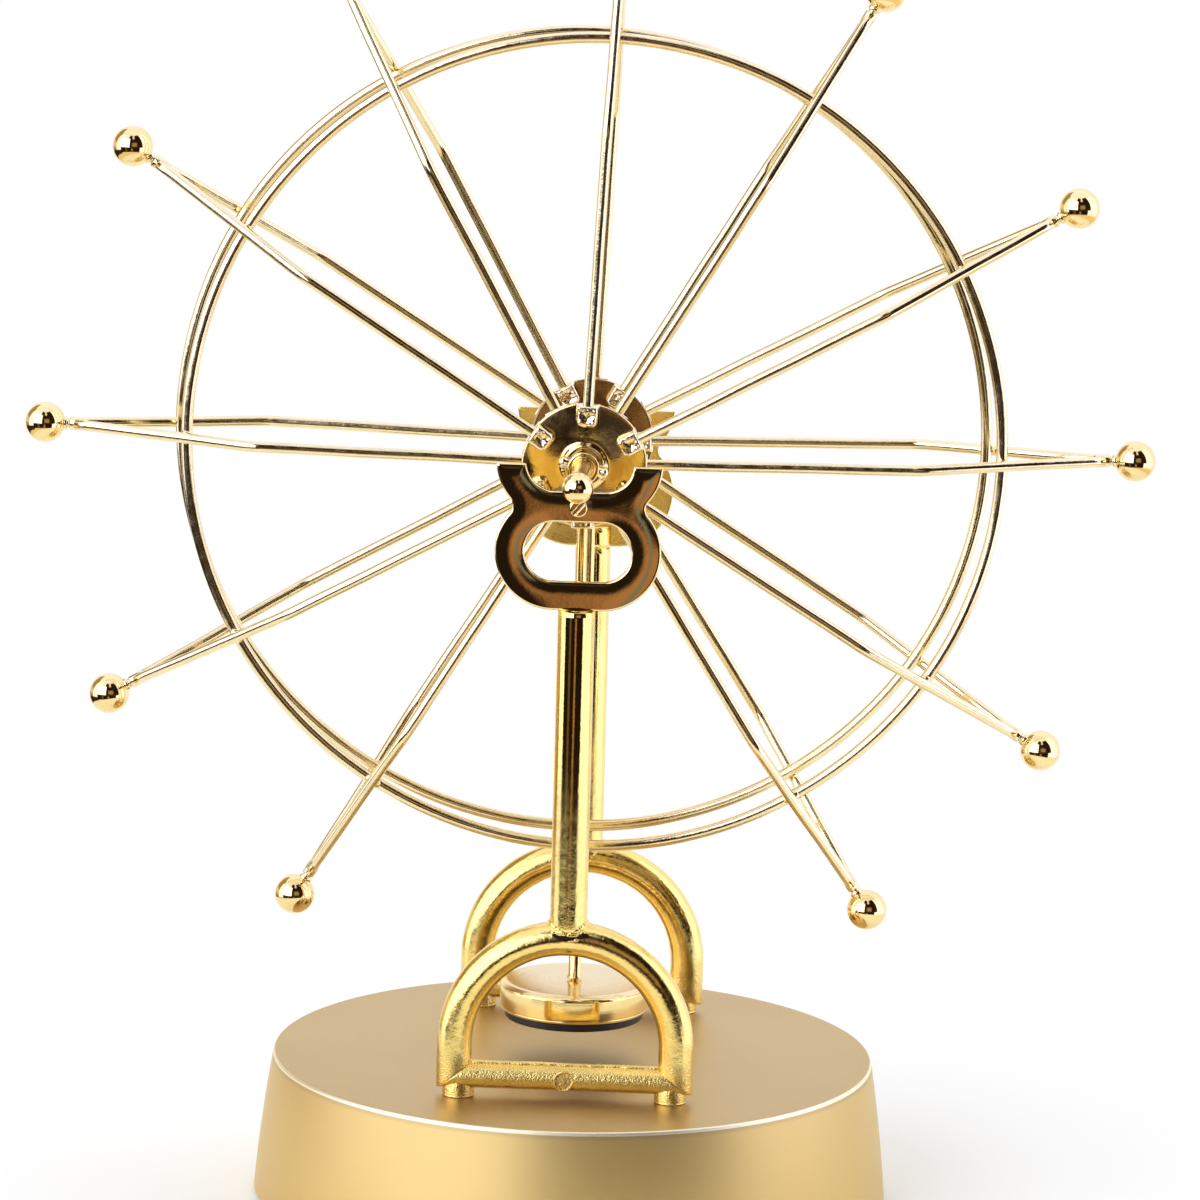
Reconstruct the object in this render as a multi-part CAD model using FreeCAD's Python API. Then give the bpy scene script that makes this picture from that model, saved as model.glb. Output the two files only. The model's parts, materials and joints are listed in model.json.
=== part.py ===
import FreeCAD, Part
import math
import os

os.makedirs("parts", exist_ok=True)

# Desk toy with a freely turning wire wheel between two posts on a round base.
# Millimetres. The toy stands on z = 0, its front faces -Y and the axle runs along Y.

# Base
base_top_radius = 57.5
base_waist_flare = 1.9
base_bottom_flare = 3.3
base_edge_radius = 0.6
base_wall = 2.4
base_ledge = 1.6
base_plate_thickness = 3.0
base_plate_clearance = 0.2
foot_radius = 6.0
foot_height = 2.2
foot_recess = 1.0
foot_bevel = 0.5
foot_inset = 11.8
foot_angles = (45, 135, 225, 315)
base_screw_inset = 9.5
base_screw_angles = (20, 160, 200, 340)
base_screw_sink = 0.4
base_screw_length = 11.0
base_screw_boss_radius = 3.5

# Battery box and drive under the top
cell_radius = 7.1
cell_length = 50.0
cell_tip_radius = 2.6
cell_tip_height = 1.2
cell_gap = 1.0
cell_clearance = 0.4
box_wall = 1.2
contact_thickness = 0.4
contact_bump_radius = 2.4
contact_bump_length = 2.2
contact_half_height = 4.5
contact_end_margin = 1.0
door_thickness = 2.0
door_margin = 2.6
door_tongue_length = 5.0
door_tongue_half_width = 5.0
door_screw_offset = 1.6
door_screw_sink = 0.2
door_screw_head_height = 1.0
door_screw_length = 7.0
door_boss_radius = 3.4
door_boss_height = 5.0
door_rib_count = 3
door_rib_width = 1.2
door_rib_pitch = 3.5
door_rib_half_length = 6.0
door_rib_depth = 0.6
door_rib_inset = 5.2
coil_height = 6.4
coil_flange_radius = 13.0
coil_flange_thickness = 0.8
coil_winding_margin = 1.4
coil_neck_radius = 4.0
coil_core_radius = 2.5
board_length = 32.0
board_width = 12.0
board_thickness = 1.6
board_gap = 2.7
board_peg_radius = 1.6
board_peg_height = 5.0
board_peg_inset = 4.0
transistor_radius = 2.3
transistor_height = 4.6
transistor_flat = 1.4

# D-shaped tube frames
frame_offset = 34.0
frame_half_width = 20.7
frame_tube_radius = 3.3
frame_height = 34.0
crossbar_height = 5.2
crossbar_boss_radius = 1.9
crossbar_boss_height = 0.25
frame_foot_radius = 3.0
frame_foot_height = 1.5
frame_foot_inset = 0.9
frame_screw_grip = 1.6

# Posts and eight-shaped plates
post_radius = 3.45
post_seat = 1.2
plate_thickness = 1.4
lobe_radius = 5.5
lobe_straight = 4.4
lobe_band = 5.4
waist_band = 5.7
waist_fillet = 2.0
tip_drop = 0.6
plate_bevel = 0.35
lap_margin = 1.2
pad_length = 9.0
pad_depth = 2.6
pad_margin = 0.3
pad_bevel = 1.2

# Wheel
ring_radius = 76.5
ring_wire_radius = 1.1
ring_rod_gap = 0.03
ring_rise = 2.3
ring_shift = 1.3
rod_radius = 1.0
kink_inset = 14.0
kink_bend_radius = 8.0
ball_reach = 26.5
ball_radius = 3.8
tip_inset = 6.0
tip_offset = 0.6
neck_radius = 1.2
neck_lap = 0.8
neck_groove_radius = 0.85
neck_groove_width = 0.5
neck_groove_gap = 0.4
neck_socket_depth = 2.0
spoke_count = 12
axle_radius = 1.85
axle_rest_clearance = 0.05
knob_radius = 2.9
knob_gap = 3.7
knob_socket_depth = 1.5
disc_radius = 11.7
disc_thickness = 1.0
disc_offset = 16.0
disc_boss_radius = 4.5
disc_boss_height = 0.6
collar_radius = 3.0
collar_length = 3.2
cross_pin_radius = 0.95
cross_pin_proud = 1.8
cross_pin_edge = 0.4
cross_pin_angle = -14.0
rod_disc_gap = 0.15
rod_disc_lap = 3.5
clip_half_width = 2.2
clip_nose_inset = 2.3
clip_skin = 0.55

# Degrees by which the spokes, bent by hand, lean from their even places
spoke_lean = {
    0: 0.9, 30: -1.6, 60: -1.0, 90: -2.4, 120: -1.2, 150: -2.4,
    180: -1.3, 210: -1.2, 240: -1.7, 300: 2.6, 330: -2.0,
}

# Room between the wheel and the base
ball_floor_gap = 10.0
weight_floor_gap = 7.2

# Weight at the foot of the wheel
weight_angle = 270
weight_radius = 14.25
weight_thickness = 5.7
weight_edge_radius = 1.0
magnet_wall = 1.0
magnet_thickness = 3.2
magnet_proud = 1.4
hanger_radius = 1.05
hanger_lap = 1.0
hanger_socket_depth = 2.0
hanger_collar_radius = 1.5
hanger_collar_height = 0.6

# Screws
small_screw_radius = 1.2
small_head_radius = 2.5
small_head_height = 1.4
plate_screw_radius = 0.9
plate_screw_grip = 2.0
plate_screw_head_radius = 1.75
plate_screw_head_height = 1.1
slot_width = 0.7
slot_depth = 0.5
slot_angle = -50.0

# How far a cutting shape runs past what it cuts, and how close an edge lies to where it is looked for
cut_margin = 1.0
tolerance = 0.01

# Base sizes that follow from the ones above
base_waist_radius = base_top_radius + base_waist_flare
base_bottom_radius = base_top_radius + base_bottom_flare
foot_circle_radius = base_bottom_radius - foot_inset
base_screw_circle_radius = base_top_radius - base_screw_inset
base_floor = foot_height - foot_recess
plate_top = base_floor + base_plate_thickness
door_top = base_floor + door_thickness
cell_height = door_top + cell_clearance / 2 + cell_radius
cell_side_offset = cell_radius + cell_gap / 2
box_ceiling = cell_height + cell_radius + cell_clearance
box_half_length = cell_length / 2 + contact_bump_length
box_half_width = cell_side_offset + cell_radius + cell_clearance
box_top = box_ceiling + box_wall
base_inner_top = box_top + coil_height
base_top_height = base_inner_top + base_wall
door_half_length = box_half_length + door_margin
door_half_width = box_half_width + door_margin - box_wall
door_screw_x = door_half_length + door_screw_offset
board_offset = box_half_width + box_wall + board_gap + board_width / 2
board_bottom = plate_top + board_peg_height

# Wheel sizes that follow
ball_circle_radius = ring_radius + ball_reach
kink_radius = ring_radius - kink_inset
tip_radius = ball_circle_radius - tip_inset
neck_start = tip_radius - neck_lap
ball_socket_radius = ball_circle_radius - ball_radius + neck_socket_depth
neck_groove_end = ball_circle_radius - ball_radius - neck_groove_gap
rod_slope = (disc_offset - tip_offset) / (tip_radius - kink_radius)
rod_offset_at_ring = disc_offset - rod_slope * (ring_radius - kink_radius)
ring_rod_pitch = ring_wire_radius + rod_radius + ring_rod_gap
ring_offset = rod_offset_at_ring - ring_rod_pitch * math.hypot(1.0, rod_slope)
rod_inner_radius = disc_radius - rod_disc_lap
clip_nose_radius = disc_radius - clip_nose_inset
clip_height = rod_disc_gap + 2 * rod_radius + clip_skin
disc_face = disc_offset + disc_thickness / 2
boss_face = disc_face + disc_boss_height
axle_drop = ball_circle_radius + ball_radius + ball_floor_gap
axle_height = base_top_height + axle_drop
weight_top_drop = axle_drop - weight_floor_gap - magnet_proud - weight_thickness
weight_top = axle_height - weight_top_drop
knob_offset = frame_offset + plate_thickness + knob_gap + knob_radius
axle_reach = knob_offset - knob_radius + knob_socket_depth

# Frame, post and plate sizes that follow
arch_centre = base_top_height + frame_height - frame_tube_radius - frame_half_width
frame_bottom = base_top_height + frame_foot_height
crossbar_top = frame_bottom + crossbar_height
frame_foot_x = frame_half_width - frame_foot_inset
recess_bottom = axle_height - axle_radius - axle_rest_clearance
recess_centre = recess_bottom + lobe_radius
window_centre = recess_centre - 2 * lobe_radius - waist_band
waist_height = (window_centre + recess_centre) / 2
outer_lobe_radius = lobe_radius + lobe_band
plate_bottom = window_centre - outer_lobe_radius
post_top = plate_bottom + lobe_band - lap_margin
post_start = base_top_height + frame_height - 2 * frame_tube_radius + post_seat
plate_front = -frame_offset - plate_thickness

X = FreeCAD.Vector(1, 0, 0)
Y = FreeCAD.Vector(0, 1, 0)
Z = FreeCAD.Vector(0, 0, 1)


def vec(x, y, z):
    return FreeCAD.Vector(x, y, z)


def cylinder(radius, start, direction, length):
    """Round bar from start along direction."""
    return Part.makeCylinder(radius, length, start, direction)


def block(x0, x1, y0, y1, z0, z1):
    """Box between two corners."""
    return Part.makeBox(x1 - x0, y1 - y0, z1 - z0, vec(x0, y0, z0))


def prism_xz(points, y0, y1):
    """Straight prism along Y over a closed outline in X and Z."""
    corners = [vec(x, y0, z) for x, z in points]
    outline = Part.makePolygon(corners + [corners[0]])
    return Part.Face(outline).extrude(vec(0, y1 - y0, 0))


def stadium(radius, straight, centre_z, y0, y1):
    """Slab with round ends: two half circles joined by straight sides."""
    left = cylinder(radius, vec(-straight, y0, centre_z), Y, y1 - y0)
    right = cylinder(radius, vec(straight, y0, centre_z), Y, y1 - y0)
    middle = block(-straight, straight, y0, y1, centre_z - radius, centre_z + radius)
    return left.fuse([middle, right]).removeSplitter()


def mirrored(shape):
    """The same piece on the rear side of the toy."""
    return shape.mirror(vec(0, 0, 0), Y)


def save(name, shape):
    """Write one sub-part."""
    shape.exportStep(os.path.join("parts", name + ".step"))


def polar(radius, degrees):
    """Point on a circle about the Z axis."""
    angle = math.radians(degrees)
    return radius * math.cos(angle), radius * math.sin(angle)


def on_wheel(shape, degrees):
    """Turn a piece drawn along +X about the axle line and lift it to the axle."""
    turned = shape.copy()
    turned.rotate(vec(0, 0, 0), Y, -degrees)
    turned.translate(vec(0, 0, axle_height))
    return turned


# Base

def base_shell():
    """Flared drum, hollow and open below, with screw bosses and holes for the frame screws."""
    edge = base_edge_radius
    corner = edge * (1 - math.sqrt(0.5))
    top_side = vec(base_top_radius, 0, base_top_height - edge)
    top_edge = vec(base_top_radius - edge, 0, base_top_height)
    edge_middle = vec(base_top_radius - corner, 0, base_top_height - corner)
    waist = vec(base_waist_radius, 0, (base_top_height + base_floor) / 2)
    foot = vec(base_bottom_radius, 0, base_floor)
    rebate_radius = base_bottom_radius - base_wall
    ledge_radius = rebate_radius - base_ledge
    corners = [
        foot,
        vec(rebate_radius, 0, base_floor),
        vec(rebate_radius, 0, plate_top),
        vec(ledge_radius, 0, plate_top),
        vec(base_top_radius - base_wall, 0, base_inner_top),
        vec(0, 0, base_inner_top),
        vec(0, 0, base_top_height),
        top_edge,
    ]
    edges = [Part.makeLine(a, b) for a, b in zip(corners, corners[1:])]
    edges.append(Part.Arc(top_edge, edge_middle, top_side).toShape())
    edges.append(Part.Arc(top_side, waist, foot).toShape())
    shell = Part.Face(Part.Wire(Part.__sortEdges__(edges))).revolve(vec(0, 0, 0), Z, 360)
    bosses = []
    for degrees in base_screw_angles:
        x, y = polar(base_screw_circle_radius, degrees)
        bosses.append(cylinder(base_screw_boss_radius, vec(x, y, plate_top), Z, base_inner_top - plate_top))
    shell = shell.fuse(bosses).removeSplitter()
    return shell.cut(base_screw_list() + frame_screw_list())


def screw(x, y, z, head_height, length):
    """Round-headed screw pointing up, head at the bottom."""
    head = cylinder(small_head_radius, vec(x, y, z), Z, head_height)
    shank = cylinder(small_screw_radius, vec(x, y, z), Z, length)
    return head.fuse(shank).removeSplitter()


def base_screw_list():
    """Screws that hold the base plate in its bosses, heads sunk in the underside."""
    low = base_floor + base_screw_sink
    places = [polar(base_screw_circle_radius, degrees) for degrees in base_screw_angles]
    return [screw(x, y, low, small_head_height, base_screw_length) for x, y in places]


def frame_screw_list():
    """Screws from inside the base up into the feet of the frames."""
    low = base_inner_top - small_head_height
    length = small_head_height + base_wall + frame_foot_height + frame_screw_grip
    places = [(x, y) for y in (-frame_offset, frame_offset) for x in (-frame_foot_x, frame_foot_x)]
    return [screw(x, y, low, small_head_height, length) for x, y in places]


def door_outline(z0, z1, gap):
    """Flat slab of the battery door with its screw tongue on +X, grown by gap all round."""
    half_length = door_half_length + gap
    half_width = door_half_width + gap
    slab = block(-half_length, half_length, -half_width, half_width, z0, z1)
    tongue_half_width = door_tongue_half_width + gap
    tongue = block(0, half_length + door_tongue_length, -tongue_half_width, tongue_half_width, z0, z1)
    return slab.fuse(tongue).removeSplitter()


def door_screw():
    """Screw that locks the battery door."""
    return screw(door_screw_x, 0, base_floor + door_screw_sink, door_screw_head_height, door_screw_length)


def battery_door():
    """Door of the battery box, flush with the underside, with finger grooves at one end."""
    door = door_outline(base_floor, door_top, 0.0)
    grooves = []
    for number in range(door_rib_count):
        x = -box_half_length + door_rib_inset + number * door_rib_pitch
        grooves.append(block(
            x, x + door_rib_width, -door_rib_half_length, door_rib_half_length,
            base_floor, base_floor + door_rib_depth,
        ))
    return door.cut(grooves + [door_screw()])


def base_plate():
    """Underside of the base with the battery box, the door opening, and places for feet and board."""
    radius = base_bottom_radius - base_wall - base_plate_clearance
    plate = cylinder(radius, vec(0, 0, base_floor), Z, base_plate_thickness)
    outer_x = box_half_length + box_wall
    outer_y = box_half_width + box_wall
    outer = block(-outer_x, outer_x, -outer_y, outer_y, plate_top, box_top)
    boss = cylinder(door_boss_radius, vec(door_screw_x, 0, plate_top), Z, door_boss_height)
    peg_x = board_length / 2 - board_peg_inset
    pegs = []
    for x in (-peg_x, peg_x):
        pegs.append(cylinder(board_peg_radius, vec(x, board_offset, plate_top), Z, board_peg_height))
    plate = plate.fuse([outer, boss] + pegs).removeSplitter()
    low = base_floor - cut_margin
    inside = block(-box_half_length, box_half_length, -box_half_width, box_half_width, low, box_ceiling)
    opening = door_outline(low, door_top, base_plate_clearance)
    wells = []
    for degrees in base_screw_angles:
        x, y = polar(base_screw_circle_radius, degrees)
        wells.append(cylinder(small_head_radius, vec(x, y, low), Z, base_screw_sink + cut_margin))
    feet = [foot_at(degrees) for degrees in foot_angles]
    return plate.cut([inside, opening, door_screw()] + feet + base_screw_list() + wells)


def foot_at(degrees):
    """Rubber foot set in the underside."""
    x, y = polar(foot_circle_radius, degrees)
    return cylinder(foot_radius, vec(x, y, 0), Z, foot_height)


def rubber_foot(degrees):
    """Rubber foot with a bevelled lower edge."""
    foot = foot_at(degrees)
    lower = [edge for edge in foot.Edges if edge.BoundBox.ZMax < tolerance]
    return foot.makeChamfer(foot_bevel, lower)


def battery_cell(side):
    """Round cell with its raised positive end, lying along X."""
    y = side * cell_side_offset
    body = cylinder(cell_radius, vec(-cell_length / 2, y, cell_height), X, cell_length - cell_tip_height)
    tip_x = cell_length / 2 - cell_tip_height
    tip = cylinder(cell_tip_radius, vec(tip_x, y, cell_height), X, cell_tip_height)
    cell = body.fuse(tip).removeSplitter()
    if side < 0:
        return cell
    return cell.mirror(vec(0, 0, 0), X)


def battery_contact(end):
    """Bent strip that touches both cells at one end of the box."""
    half_width = box_half_width - contact_end_margin
    strip = block(
        box_half_length - contact_thickness, box_half_length, -half_width, half_width,
        cell_height - contact_half_height, cell_height + contact_half_height,
    )
    bumps = []
    for y in (-cell_side_offset, cell_side_offset):
        start = vec(cell_length / 2, y, cell_height)
        bumps.append(cylinder(contact_bump_radius, start, X, contact_bump_length))
    contact = strip.fuse(bumps).removeSplitter()
    if end > 0:
        return contact
    return contact.mirror(vec(0, 0, 0), X)


def coil_bobbin():
    """Spool under the middle of the top."""
    start = vec(0, 0, box_top)
    top_start = vec(0, 0, base_inner_top - coil_flange_thickness)
    bottom = cylinder(coil_flange_radius, start, Z, coil_flange_thickness)
    top = cylinder(coil_flange_radius, top_start, Z, coil_flange_thickness)
    neck = cylinder(coil_neck_radius, start, Z, coil_height)
    return neck.fuse([top, bottom]).removeSplitter().cut(coil_core())


def coil_winding():
    """Wire wound on the spool."""
    start = vec(0, 0, box_top + coil_flange_thickness)
    height = coil_height - 2 * coil_flange_thickness
    outer = cylinder(coil_flange_radius - coil_winding_margin, start, Z, height)
    return outer.cut(cylinder(coil_neck_radius, start, Z, height))


def coil_core():
    """Iron core of the spool."""
    return cylinder(coil_core_radius, vec(0, 0, box_top), Z, coil_height)


def circuit_board():
    """Drive board on two pegs beside the battery box."""
    half_length = board_length / 2
    y0 = board_offset - board_width / 2
    board_top = board_bottom + board_thickness
    return block(-half_length, half_length, y0, y0 + board_width, board_bottom, board_top)


def drive_transistor():
    """Flat-faced round transistor standing on the board."""
    low = board_bottom + board_thickness
    high = low + transistor_height
    flat = board_offset + transistor_flat
    body = cylinder(transistor_radius, vec(0, board_offset, low), Z, transistor_height)
    return body.cut(block(-transistor_radius, transistor_radius, flat, flat + transistor_radius, low, high))


# Stand

def front_frame():
    """Bent round tube closed below by an oval crossbar, mitred at the corners, on two feet."""
    y = -frame_offset
    a = frame_half_width
    r = frame_tube_radius
    section = Part.Face(Part.Wire(Part.makeCircle(r, vec(a, y, arch_centre), Z)))
    arch = section.revolve(vec(0, y, arch_centre), Y, -180)
    zone_top = [(-a - r, frame_bottom), (-a + r, crossbar_top), (-a + r, arch_centre), (-a - r, arch_centre)]
    legs = []
    for side in (-1, 1):
        leg = cylinder(r, vec(side * a, y, frame_bottom), Z, arch_centre - frame_bottom)
        points = [(-side * x, z) for x, z in zone_top]
        legs.append(leg.common(prism_xz(points, y - r, y + r)))
    bar_centre = vec(-a - r, y, frame_bottom + crossbar_height / 2)
    oval = Part.Ellipse(vec(0, 0, 0), r, crossbar_height / 2).toShape()
    oval.rotate(vec(0, 0, 0), Y, 90)
    oval.rotate(vec(0, 0, 0), X, 90)
    oval.translate(bar_centre)
    bar = Part.Face(Part.Wire(oval)).extrude(vec(2 * (a + r), 0, 0))
    zone = [(-a - r, frame_bottom), (a + r, frame_bottom), (a - r, crossbar_top), (-a + r, crossbar_top)]
    bar = bar.common(prism_xz(zone, y - r, y + r))
    feet = [frame_foot(side * frame_foot_x, y) for side in (-1, 1)]
    boss_start = vec(0, y - r - crossbar_boss_height, frame_bottom + crossbar_height / 2)
    boss = cylinder(crossbar_boss_radius, boss_start, Y, r)
    frame = arch.fuse(legs + [bar, boss] + feet).removeSplitter()
    return frame.cut(frame_screw_list() + [post_bar()])


def frame_foot(x, y):
    """Round foot between the base and a crossbar."""
    return cylinder(frame_foot_radius, vec(x, y, base_top_height), Z, frame_foot_height + crossbar_height / 2)


def post_bar():
    """Full round bar of the front post, seated on the crown of the arch."""
    return cylinder(post_radius, vec(0, -frame_offset, post_start), Z, post_top - post_start)


def front_post():
    """Post with a lap cut in its top, where the plate is fixed."""
    lap = block(
        -post_radius, post_radius,
        -frame_offset - post_radius, -frame_offset,
        plate_bottom, post_top,
    )
    return post_bar().cut(lap)


def front_plate():
    """Eight-shaped plate: a closed lower lobe and an upper lobe cut open to carry the axle."""
    back = -frame_offset
    lower = stadium(outer_lobe_radius, lobe_straight, window_centre, plate_front, back)
    upper = stadium(outer_lobe_radius, lobe_straight, recess_centre, plate_front, back)
    body = lower.fuse(upper).removeSplitter()
    waist = [
        edge for edge in body.Edges
        if edge.BoundBox.YLength > plate_thickness / 2 and abs(edge.CenterOfMass.z - waist_height) < tolerance
        and edge.BoundBox.ZLength < tolerance
    ]
    body = body.makeFillet(waist_fillet, waist)
    wide = outer_lobe_radius + lobe_straight + cut_margin
    high = recess_centre + outer_lobe_radius + cut_margin
    above = block(-wide, wide, plate_front, back, recess_centre - tip_drop, high)
    window = stadium(lobe_radius, lobe_straight, window_centre, plate_front, back)
    recess = stadium(lobe_radius, lobe_straight, recess_centre, plate_front, back)
    body = body.cut([above, window, recess]).removeSplitter()
    rim = [edge for edge in body.Edges if edge.BoundBox.YMax < plate_front + tolerance]
    body = body.makeChamfer(plate_bevel, rim)
    return body.cut(plate_screw())


def plate_screw():
    """Slotted screw at the waist of the plate."""
    face = plate_front - plate_screw_head_height
    head = cylinder(plate_screw_head_radius, vec(0, face, waist_height), Y, plate_screw_head_height)
    length = plate_screw_head_height + plate_thickness + plate_screw_grip
    shank = cylinder(plate_screw_radius, vec(0, face, waist_height), Y, length)
    slot = block(
        -plate_screw_head_radius, plate_screw_head_radius, face, face + slot_depth,
        waist_height - slot_width / 2, waist_height + slot_width / 2,
    )
    slot.rotate(vec(0, 0, waist_height), Y, slot_angle)
    return head.fuse(shank).removeSplitter().cut(slot)


def bearing_pad():
    """Pad behind the waist that carries the axle level with the recess."""
    back = -frame_offset
    low = recess_bottom - waist_band + pad_margin
    pad = block(-pad_length / 2, pad_length / 2, back, back + pad_depth, low, recess_bottom)
    lower_ends = [
        edge for edge in pad.Edges
        if edge.BoundBox.ZMax < low + tolerance and edge.BoundBox.XLength < tolerance
    ]
    return pad.makeChamfer(pad_bevel, lower_ends).cut(plate_screw())


# Wheel

def axle():
    """Plain round axle between the two end knobs."""
    bar = cylinder(axle_radius, vec(0, -axle_reach, axle_height), Y, 2 * axle_reach)
    return bar.cut([front_cross_pin(), mirrored(front_cross_pin())])


def front_knob():
    """Ball on the end of the axle."""
    ball = Part.makeSphere(knob_radius, vec(0, -knob_offset, axle_height))
    return ball.cut(cylinder(axle_radius, vec(0, -axle_reach, axle_height), Y, axle_reach))


def front_disc():
    """Stamped hub disc with a raised middle."""
    disc = cylinder(disc_radius, vec(0, -disc_face, axle_height), Y, disc_thickness)
    boss = cylinder(disc_boss_radius, vec(0, -boss_face, axle_height), Y, disc_boss_height)
    bore = cylinder(axle_radius, vec(0, -boss_face, axle_height), Y, boss_face)
    return disc.fuse(boss).removeSplitter().cut(bore)


def front_collar():
    """Sleeve pinned to the axle in front of the disc."""
    start = vec(0, -boss_face - collar_length, axle_height)
    sleeve = cylinder(collar_radius, start, Y, collar_length)
    bore = cylinder(axle_radius, start, Y, collar_length)
    return sleeve.cut([bore, front_cross_pin()])


def front_cross_pin():
    """Pin through collar and axle, a little proud at both ends."""
    half_length = collar_radius + cross_pin_proud
    start = vec(-half_length, -boss_face - collar_length / 2, 0)
    pin = cylinder(cross_pin_radius, start, X, 2 * half_length)
    pin = pin.makeFillet(cross_pin_edge, [edge for edge in pin.Edges if edge.BoundBox.XLength < tolerance])
    return on_wheel(pin, cross_pin_angle)


def is_outer(index):
    """Every other spoke is clipped to the outer face of the hub discs."""
    return index % 2 == 1


def rod_start_offset(index):
    """Distance of a rod from the middle plane at the hub."""
    step = disc_thickness / 2 + rod_disc_gap + rod_radius
    if is_outer(index):
        return disc_offset + step
    return disc_offset - step


def bent_rod(start_offset):
    """Front rod drawn along +X: straight from the hub, one bend, straight to the tip."""
    start = vec(rod_inner_radius, -start_offset, 0)
    knee = vec(kink_radius, -disc_offset, 0)
    tip = vec(tip_radius, -tip_offset, 0)
    back = (start - knee).normalize()
    ahead = (tip - knee).normalize()
    half_turn = (math.pi - back.getAngle(ahead)) / 2
    setback = kink_bend_radius * math.tan(half_turn)
    bend_in = knee + back * setback
    bend_out = knee + ahead * setback
    middle_way = (back + ahead).normalize()
    sagitta = kink_bend_radius * (1 / math.cos(half_turn) - 1)
    bend_middle = knee + middle_way * sagitta
    path = Part.Wire([
        Part.makeLine(start, bend_in),
        Part.Arc(bend_in, bend_middle, bend_out).toShape(),
        Part.makeLine(bend_out, tip),
    ])
    section = Part.Wire(Part.makeCircle(rod_radius, start, back))
    return path.makePipeShell([section], True, False)


def spoke_pair(index):
    """Front and rear rods of one spoke, drawn along +X and joined at the tip."""
    rod = bent_rod(rod_start_offset(index))
    return rod.fuse(mirrored(rod))


def spoke_angle(index):
    """Direction of a spoke, counted from +X towards +Z."""
    even = index * 360 // spoke_count
    return even + spoke_lean.get(even, 0.0)


def neck():
    """Plain end of a spoke that a ball is set on."""
    return cylinder(neck_radius, vec(neck_start, 0, 0), X, ball_socket_radius - neck_start)


def ball_spoke(index):
    """Spoke that ends in a grooved neck for a ball."""
    start = vec(neck_groove_end - neck_groove_width, 0, 0)
    groove = cylinder(2 * neck_radius, start, X, neck_groove_width)
    groove = groove.cut(cylinder(neck_groove_radius, start, X, neck_groove_width))
    spoke = spoke_pair(index).fuse(neck()).removeSplitter().cut(groove)
    return on_wheel(spoke, spoke_angle(index))


def weight_hanger(index):
    """Spoke that ends in a single rod and collar for the weight."""
    stem_start = neck_start - hanger_lap
    stem_end = weight_top_drop + hanger_socket_depth
    stem = cylinder(hanger_radius, vec(stem_start, 0, 0), X, stem_end - stem_start)
    collar_start = weight_top_drop - hanger_collar_height
    collar = cylinder(hanger_collar_radius, vec(collar_start, 0, 0), X, hanger_collar_height)
    hanger = spoke_pair(index).fuse([stem, collar]).removeSplitter()
    return on_wheel(hanger, spoke_angle(index))


def clip(index):
    """Round-ended clip that holds one rod on a face of the front disc, drawn along +X."""
    y0 = disc_thickness - disc_face
    if is_outer(index):
        y0 = -disc_face - clip_height
    nose = cylinder(clip_half_width, vec(clip_nose_radius, y0, 0), Y, clip_height)
    tail = block(clip_nose_radius, disc_radius, y0, y0 + clip_height, -clip_half_width, clip_half_width)
    body = nose.fuse(tail).removeSplitter()
    return body.cut(bent_rod(rod_start_offset(index)))


def front_clips():
    """All clips of the front disc."""
    pieces = [on_wheel(clip(index), spoke_angle(index)) for index in range(spoke_count)]
    return Part.makeCompound(pieces)


def front_ring(shift):
    """Wire ring against the inner side of the front rods, off centre and tilted to lie on all of them."""
    centre = vec(shift, -ring_offset, axle_height + ring_rise)
    tilt = vec(-shift, ring_radius / rod_slope, -ring_rise)
    return Part.makeTorus(ring_radius, ring_wire_radius, centre, tilt)


def end_ball(index):
    """Ball bored for its neck."""
    ball = Part.makeSphere(ball_radius, vec(ball_circle_radius, 0, 0))
    return on_wheel(ball.cut(neck()), spoke_angle(index))


def weight_disc():
    """Turned disc with rounded edges and a pocket for the magnet."""
    body = cylinder(weight_radius, vec(0, 0, weight_top - weight_thickness), Z, weight_thickness)
    rims = [edge for edge in body.Edges if edge.BoundBox.ZLength < tolerance]
    socket = cylinder(hanger_radius, vec(0, 0, weight_top - hanger_socket_depth), Z, hanger_socket_depth)
    return body.makeFillet(weight_edge_radius, rims).cut([weight_magnet(), socket])


def weight_magnet():
    """Magnet set in the underside of the weight."""
    low = weight_top - weight_thickness - magnet_proud
    return cylinder(weight_radius - magnet_wall, vec(0, 0, low), Z, magnet_thickness)


save("base_shell", base_shell())
save("base_plate", base_plate())
save("battery_door", battery_door())
save("battery_door_screw", door_screw())
save("base_screws", Part.makeCompound(base_screw_list()))
save("frame_screws", Part.makeCompound(frame_screw_list()))
for number, degrees in enumerate(foot_angles):
    save("rubber_foot_%d" % (number + 1), rubber_foot(degrees))
save("battery_cell_front", battery_cell(-1))
save("battery_cell_rear", battery_cell(1))
save("battery_contact_left", battery_contact(-1))
save("battery_contact_right", battery_contact(1))
save("coil_bobbin", coil_bobbin())
save("coil_winding", coil_winding())
save("coil_core", coil_core())
save("circuit_board", circuit_board())
save("drive_transistor", drive_transistor())

# Pieces that come in a front and a rear copy
paired_pieces = {
    "frame": front_frame,
    "post": front_post,
    "plate": front_plate,
    "plate_screw": plate_screw,
    "bearing_pad": bearing_pad,
    "knob": front_knob,
    "hub_disc": front_disc,
    "hub_collar": front_collar,
    "cross_pin": front_cross_pin,
    "hub_clips": front_clips,
}
for name, make in paired_pieces.items():
    piece = make()
    save("front_" + name, piece)
    save("rear_" + name, mirrored(piece))

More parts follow.
